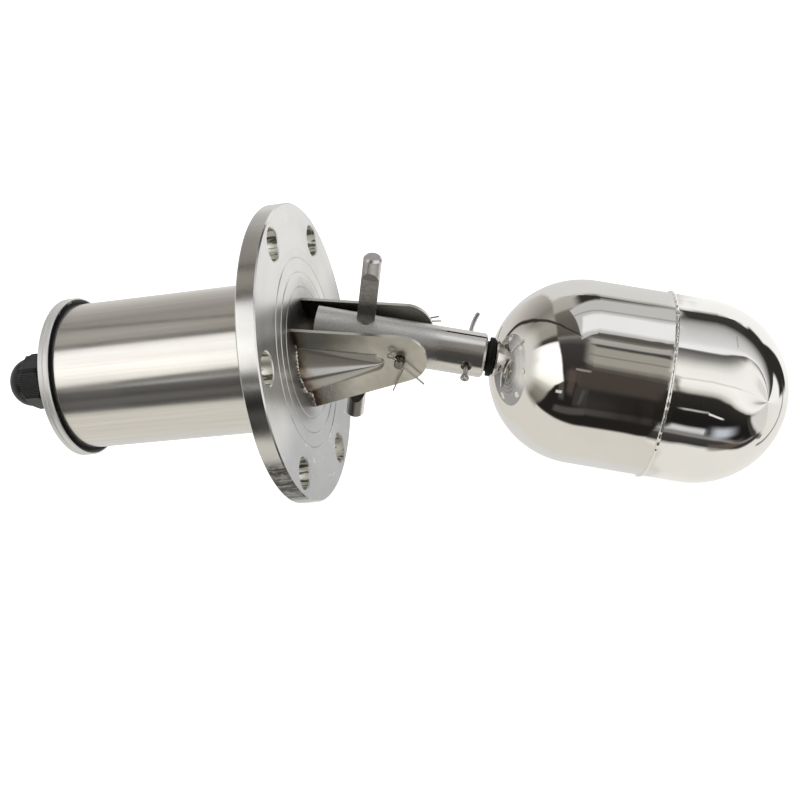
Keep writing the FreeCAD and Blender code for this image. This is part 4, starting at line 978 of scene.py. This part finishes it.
def make_arm_steel():
    material, wires, shader, place = new_material("cast_arm")
    level = wires.turn(place, -ARM_DROOP, PIVOT)
    outward = wires.minus(wires.split(level)[0], PIVOT.x)
    blasted = wires.fade(outward, BLAST_END - BLAST_FADE, BLAST_END + BLAST_FADE, 1.0, 0.0)
    pits = wires.noise(place, 1700.0, 3.0, 0.7)
    streaks = wires.group(GRAIN, place=level, fineness=800.0, length=0.05)["Streaks"]
    steel = wires.mix(wires.fade(pits, 0.3, 0.7), (0.60, 0.595, 0.58), (0.80, 0.79, 0.775))
    smooth = wires.mix(wires.fade(streaks, 0.3, 0.7), (0.70, 0.68, 0.65), (0.84, 0.825, 0.80))
    steel = wires.mix(blasted, smooth, steel)
    across = wires.size(wires.split(level)[1])
    up = wires.minus(wires.split(level)[2], PIVOT.z)
    # The slit near the arm's end: a painted shadow darkens its inside, and a painted highlight
    # lies along its edges.
    at_slit = wires.times(wires.fade(up, 8.6 * MM, 8.9 * MM),
        wires.fade(outward, 18.6 * MM, 18.9 * MM))
    inside = wires.times(at_slit, wires.fade(across, 0.45 * MM, 0.55 * MM, 1.0, 0.0))
    slit_highlight = wires.times(at_slit, between(wires, across, 0.62 * MM, 1.0 * MM, 0.15 * MM))
    steel = wires.mix(inside, steel, (0.03, 0.028, 0.025))
    steel = wires.mix(wires.times(slit_highlight, 0.6), steel, (0.97, 0.965, 0.95))
    height = wires.times(pits, wires.fade(blasted, 0.0, 1.0, 0.15, 1.0))
    coat(wires, shader, steel, wires.fade(blasted, 0.0, 1.0, 0.22, 0.42),
        wires.bump(height, 0.09 * MM, 0.7))
    return material


dress(make_arm_steel(), "float_arm")

# %% [markdown]
# **The float** is two spun shells polished to a mirror and welded together. The polish is nearly
# perfect, but the shells are not quite round near the weld: broad waves there bend the
# reflections. A faint haze keeps the mirror from looking computed.

# %% Float
FLOAT_SEAM = 116 * MM          # from the pivot to the weld


def make_mirror_steel():
    material, wires, shader, place = new_material("mirror_float")
    level = wires.turn(place, -ARM_DROOP, PIVOT)
    outward = wires.minus(wires.split(level)[0], PIVOT.x)
    from_seam = wires.size(wires.minus(outward, FLOAT_SEAM))
    near_seam = wires.fade(from_seam, 0.0, 18 * MM, 1.0, 0.0)
    haze = wires.group(SMUDGES, place=place, scale=30.0)["Mask"]
    swirls = wires.noise(place, 900.0, 2.0)
    waves = wires.noise(place, 26.0, 1.0)
    ripples = wires.times(wires.noise(place, 75.0, 1.0), near_seam)
    height = wires.plus(wires.times(waves, 0.5),
        wires.plus(wires.times(ripples, 0.75), wires.times(swirls, 0.0004)))
    coat(wires, shader, wires.mix(haze, (0.90, 0.885, 0.86), (0.87, 0.855, 0.825)),
        wires.plus(wires.times(haze, 0.02), 0.025), wires.bump(height, 0.6 * MM, 0.5))
    return material


MIRROR_STEEL = make_mirror_steel()
dress(MIRROR_STEEL, "float_inner_shell", "float_outer_shell")

# %% [markdown]
# **Zinc-plated hardware** is whiter and bluer than stainless steel, with cloudy patches where the
# plating took unevenly.

# %% Zinc


def make_zinc_steel():
    material, wires, shader, place = new_material("zinc_steel")
    cloud = wires.group(SMUDGES, place=place, scale=140.0)["Mask"]
    fine = wires.noise(place, 1500.0, 2.0)
    coat(wires, shader, wires.mix(cloud, (0.72, 0.74, 0.77), (0.58, 0.60, 0.62)),
        wires.plus(wires.times(cloud, 0.14), 0.22), wires.bump(fine, 0.02 * MM, 0.4))
    return material


dress(make_zinc_steel(), "tie_studs", "cover_washers", "cover_nuts", "carrier_spacers",
    "carrier_nuts")

# %% [markdown]
# **Rubber, nylon and laminate** aren't metal. Their light comes back from the surface as a weak
# highlight and from below it as colour. Rubber is dull with dusty patches. Moulded nylon has a
# fine grain from the tool. The switch lever is natural nylon, and the contacts' carrier is brown
# laminate with cloth layers inside.

# %% Rubber, nylon and laminate


def make_plastic(name, dark, light, rough, fineness, depth, gloss=0.5):
    material, wires, shader, place = new_material(name, metallic=0.0)
    grain = wires.noise(place, fineness, 3.0, 0.6)
    patches = wires.group(SMUDGES, place=place, scale=120.0)["Mask"]
    coat(wires, shader, wires.mix(patches, dark, light),
        wires.plus(wires.times(patches, 0.12), rough), wires.bump(grain, depth, 0.6))
    shader["Specular IOR Level"].default_value = gloss
    return material


def make_laminate():
    material, wires, shader, place = new_material("phenolic", metallic=0.0)
    x, y, z = wires.split(place)
    layers = wires.noise(wires.join(x, 0.0, 0.0), 2600.0, 1.0)
    cloth = wires.times(wires.math("SINE", wires.times(y, 9000.0)),
        wires.math("SINE", wires.times(z, 9000.0)))
    shade = wires.plus(wires.times(layers, 0.7), wires.times(cloth, 0.15))
    wires.plug(shader["Base Color"], wires.mix(shade, (0.20, 0.085, 0.03), (0.34, 0.16, 0.065)))
    shader["Roughness"].default_value = 0.42
    wires.plug(shader["Normal"], wires.bump(cloth, 0.02 * MM, 0.3))
    return material


BLACK_NYLON = make_plastic("black_nylon", 0.006, 0.010, 0.26, 1800.0, 0.02 * MM, 0.3)
dress(BLACK_NYLON, "gland_body", "gland_cap")
dress(make_plastic("black_rubber", 0.005, 0.012, 0.50, 900.0, 0.05 * MM, 0.15), "cover_gasket",
    "gland_seal", "gland_washer", "neck_collar")
dress(make_plastic("lever_nylon", (0.72, 0.68, 0.58), (0.64, 0.60, 0.50), 0.38, 1500.0,
    0.03 * MM), "switch_lever")
dress(make_laminate(), "contact_carrier")

# %% [markdown]
# **Bronze contacts and the magnets** are sealed inside. Spring bronze tarnishes in brown patches.
# The magnets are dark sintered metal with a coarse grain.

# %% Contacts and magnets


def make_bronze():
    material, wires, shader, place = new_material("contact_bronze")
    tarnish = wires.group(SMUDGES, place=place, scale=160.0)["Mask"]
    streaks = wires.group(GRAIN, place=place, fineness=1600.0, length=0.1)["Streaks"]
    coat(wires, shader, wires.mix(tarnish, (0.78, 0.52, 0.24), (0.52, 0.31, 0.14)),
        wires.plus(wires.times(streaks, 0.2), 0.14), wires.bump(streaks, 0.01 * MM, 0.4))
    return material


dress(make_bronze(), "contact_bridge", "upper_contacts", "lower_contacts", "terminal_screws")
dress(make_bar_steel("magnet", (0.10, 0.10, 0.105), (0.19, 0.19, 0.20), 0.34, 1300.0),
    "lever_magnet", "arm_magnet")

# %% [markdown]
# ## Weld beads and ribs
#
# A weld bead is a round cord of metal that froze in small waves. `sweep` lays rings of points
# along a path, and each ring may have its own radius, so a wave in the radius gives the frozen
# ripples.

# %% Sweep helper
BEAD_SIDES = 10


def sweep(name, path, radii, closed=False):
    """A round bead along a path of points, with its own radius at each one."""
    mesh = bpy.data.meshes.new(name)
    shape = bmesh.new()
    rings = []
    count = len(path)
    for i, (point, radius) in enumerate(zip(path, radii)):
        before = path[i - 1] if closed or i else point
        after = path[(i + 1) % count] if closed or i < count - 1 else point
        along = (after - before).normalized()
        across = along.cross(Vector((1, 0, 0)))
        across = across.normalized() if across.length > 0.1 else along.orthogonal().normalized()
        up = along.cross(across)
        rings.append([shape.verts.new(point + (across * math.cos(turn) + up * math.sin(
            turn)) * radius) for turn in (2 * math.pi * k / BEAD_SIDES for k in range(
            BEAD_SIDES))])
    pairs = list(zip(rings, rings[1:])) + ([(rings[-1], rings[0])] if closed else [])
    for first, second in pairs:
        for k in range(BEAD_SIDES):
            m = (k + 1) % BEAD_SIDES
            shape.faces.new((first[k], first[m], second[m], second[k]))
    if not closed:
        shape.faces.new(rings[0][::-1])
        shape.faces.new(rings[-1])
    bmesh.ops.recalc_face_normals(shape, faces=shape.faces)
    for face in shape.faces:
        face.smooth = True
    shape.to_mesh(mesh)
    shape.free()
    thing = bpy.data.objects.new(name, mesh)
    bpy.context.collection.objects.link(thing)
    return thing


def give(thing, body, material):
    """An added piece rides a body and gets its material."""
    thing.data.materials.append(material)
    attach(thing, body)
    print(thing.name, len(thing.data.polygons), "faces on", body)


# %% [markdown]
# **The cheeks' beads** run along the foot of each cheek, down its straight edge and round the rib.
# They were laid by hand in short dabs and are brightest on top of each dab, with dark burnt metal
# in between.

# %% Cheek beads
CHEEK_FACE = 13.5 * MM
RIB_HALF_WIDTH = 13 * MM
RIB_ARC = 15.02 * MM
RIB_ARC_CENTRE = 5.98 * MM
BEAD_TOP = 14.5 * MM
BEAD_BOTTOM = -21.6 * MM
BEAD_RADIUS = 0.85 * MM
BEAD_STEPS = 260
DABS = 24


def make_bead_steel():
    material, wires, shader, place = new_material("bead_steel")
    burnt = wires.fade(wires.noise(place, 420.0, 3.0, 0.6), 0.42, 0.60)
    coat(wires, shader, wires.mix(burnt, (0.84, 0.83, 0.80), (0.16, 0.12, 0.09)),
        wires.fade(burnt, 0.0, 1.0, 0.16, 0.45),
        wires.bump(wires.noise(place, 1500.0, 2.0), 0.05 * MM, 0.6))
    return material


def cheek_outline(z):
    """How far from the middle plane a cheek's outer face lies at its foot, at a height."""
    if abs(z) >= RIB_HALF_WIDTH:
        return CHEEK_FACE
    return RIB_ARC_CENTRE + math.sqrt(RIB_ARC ** 2 - z ** 2)


def make_cheek_bead(name, side, seed):
    draw = random.Random(seed)
    sizes = [draw.uniform(0.75, 1.2) for _ in range(DABS + 1)]
    path, radii = [], []
    for i in range(BEAD_STEPS):
        share = i / (BEAD_STEPS - 1)
        z = BEAD_TOP + (BEAD_BOTTOM - BEAD_TOP) * share
        dab = share * DABS
        size = sizes[int(dab)] * (0.80 + 0.30 * math.sin(math.pi * (dab % 1.0)))
        path.append(Vector((0.35 * MM, side * (cheek_outline(z) + 0.25 * MM), z)))
        radii.append(BEAD_RADIUS * size * min(1.0, 8 * share + 0.3, 8 * (1 - share) + 0.3))
    return sweep(name, path, radii)


BEAD_STEEL = make_bead_steel()
give(make_cheek_bead("near_cheek_bead", -1, 3), "housing", BEAD_STEEL)
give(make_cheek_bead("far_cheek_bead", 1, 5), "housing", BEAD_STEEL)

# %% [markdown]
# **The float's seam** is a fine bead all round, ground off after welding but left a little uneven.
# Its path wanders sideways by a fraction of a millimetre, and its radius swells and shrinks.

# %% Float seam
SEAM_RADIUS = 42.35 * MM
SEAM_STEPS = 520
SEAM_BEAD = 0.72 * MM


def on_float(outward, radius, turn):
    """A point given by its distance from the pivot along the float, radius and turn."""
    upright = Vector((-FLOAT_AXIS.z, 0, FLOAT_AXIS.x))
    ring = upright * math.cos(turn) + Vector((0, 1, 0)) * math.sin(turn)
    return PIVOT + FLOAT_AXIS * outward + ring * radius


def make_seam():
    draw = random.Random(11)
    waves = [(draw.randint(3, 60), draw.uniform(0, 6.3),
        draw.uniform(0.4, 1.0)) for _ in range(9)]
    path, radii = [], []
    for i in range(SEAM_STEPS):
        turn = 2 * math.pi * i / SEAM_STEPS
        sway = sum(math.sin(k * turn + start) * size / k ** 0.5 for k, start, size in waves)
        swell = sum(math.sin(2 * k * turn + start) * size for k, start, size in waves) / 9
        path.append(on_float(FLOAT_SEAM + 0.12 * MM * sway, SEAM_RADIUS, turn))
        radii.append(SEAM_BEAD * (1 + 0.55 * swell))
    return sweep("float_seam", path, radii, closed=True)


give(make_seam(), "float_arm_group", MIRROR_STEEL)

# %% [markdown]
# ** The gland's cap** has fine ribs moulded into its side flats for a better grip, each a thin
# ridge that runs along the cap. The ridges are one bevelled bar, repeated across a flat and around
# the cap. Their nylon is painted a little greyer than the rest, a painted highlight along the
# ridges.

# %% Gland ribs
CAP_FLAT = 12 * MM             # from the axis to a flat
CAP_CORNER = CAP_FLAT * 2 / math.sqrt(3)
RIB_COUNT = 13
RIB_HEIGHT = 0.30 * MM
RIB_STRIP = 0.80               # share of a flat's width that the ribs cover
RIB_FLATS = (0, 2, 3, 5)       # the side flats; the level ones, 1 and 4, stay smooth


def make_gland_ribs():
    cap_low, cap_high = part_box("gland_cap")
    start = cap_low.x + 7.6 * MM
    end = cap_high.x - 0.5 * MM
    mesh = bpy.data.meshes.new("gland_ribs")
    shape = bmesh.new()
    pitch = CAP_CORNER * RIB_STRIP / RIB_COUNT
    for flat in RIB_FLATS:
        spin = Matrix.Rotation((flat * 60 - 30) * DEG, 4, "X")
        for k in range(RIB_COUNT):
            across = (k - (RIB_COUNT - 1) / 2) * pitch
            profile = [(-0.35, -0.3), (-0.12, 1.0), (0.12, 1.0), (0.35, -0.3)]
            ends = [[shape.verts.new(spin @ Vector((x, -CAP_FLAT - tall * RIB_HEIGHT,
                across + wide * pitch))) for wide, tall in profile] for x in (start, end)]
            for m in range(3):
                shape.faces.new((ends[0][m], ends[0][m + 1], ends[1][m + 1], ends[1][m]))
            shape.faces.new(ends[0][::-1])
            shape.faces.new(ends[1])
    bmesh.ops.recalc_face_normals(shape, faces=shape.faces)
    shape.to_mesh(mesh)
    shape.free()
    ribs = bpy.data.objects.new("gland_ribs", mesh)
    bpy.context.collection.objects.link(ribs)
    return ribs


# The ribs' nylon is painted greyer than the cap's, a painted highlight.
RIB_SHEEN_NYLON = make_plastic("rib_sheen_nylon", (0.030, 0.031, 0.034), (0.055, 0.057, 0.062), 0.30,
    1800.0, 0.02 * MM)
give(make_gland_ribs(), "housing", RIB_SHEEN_NYLON)

# %% [markdown]
# ## Finish

# %% Finish
bpy.context.scene.view_settings.view_transform = "Standard"
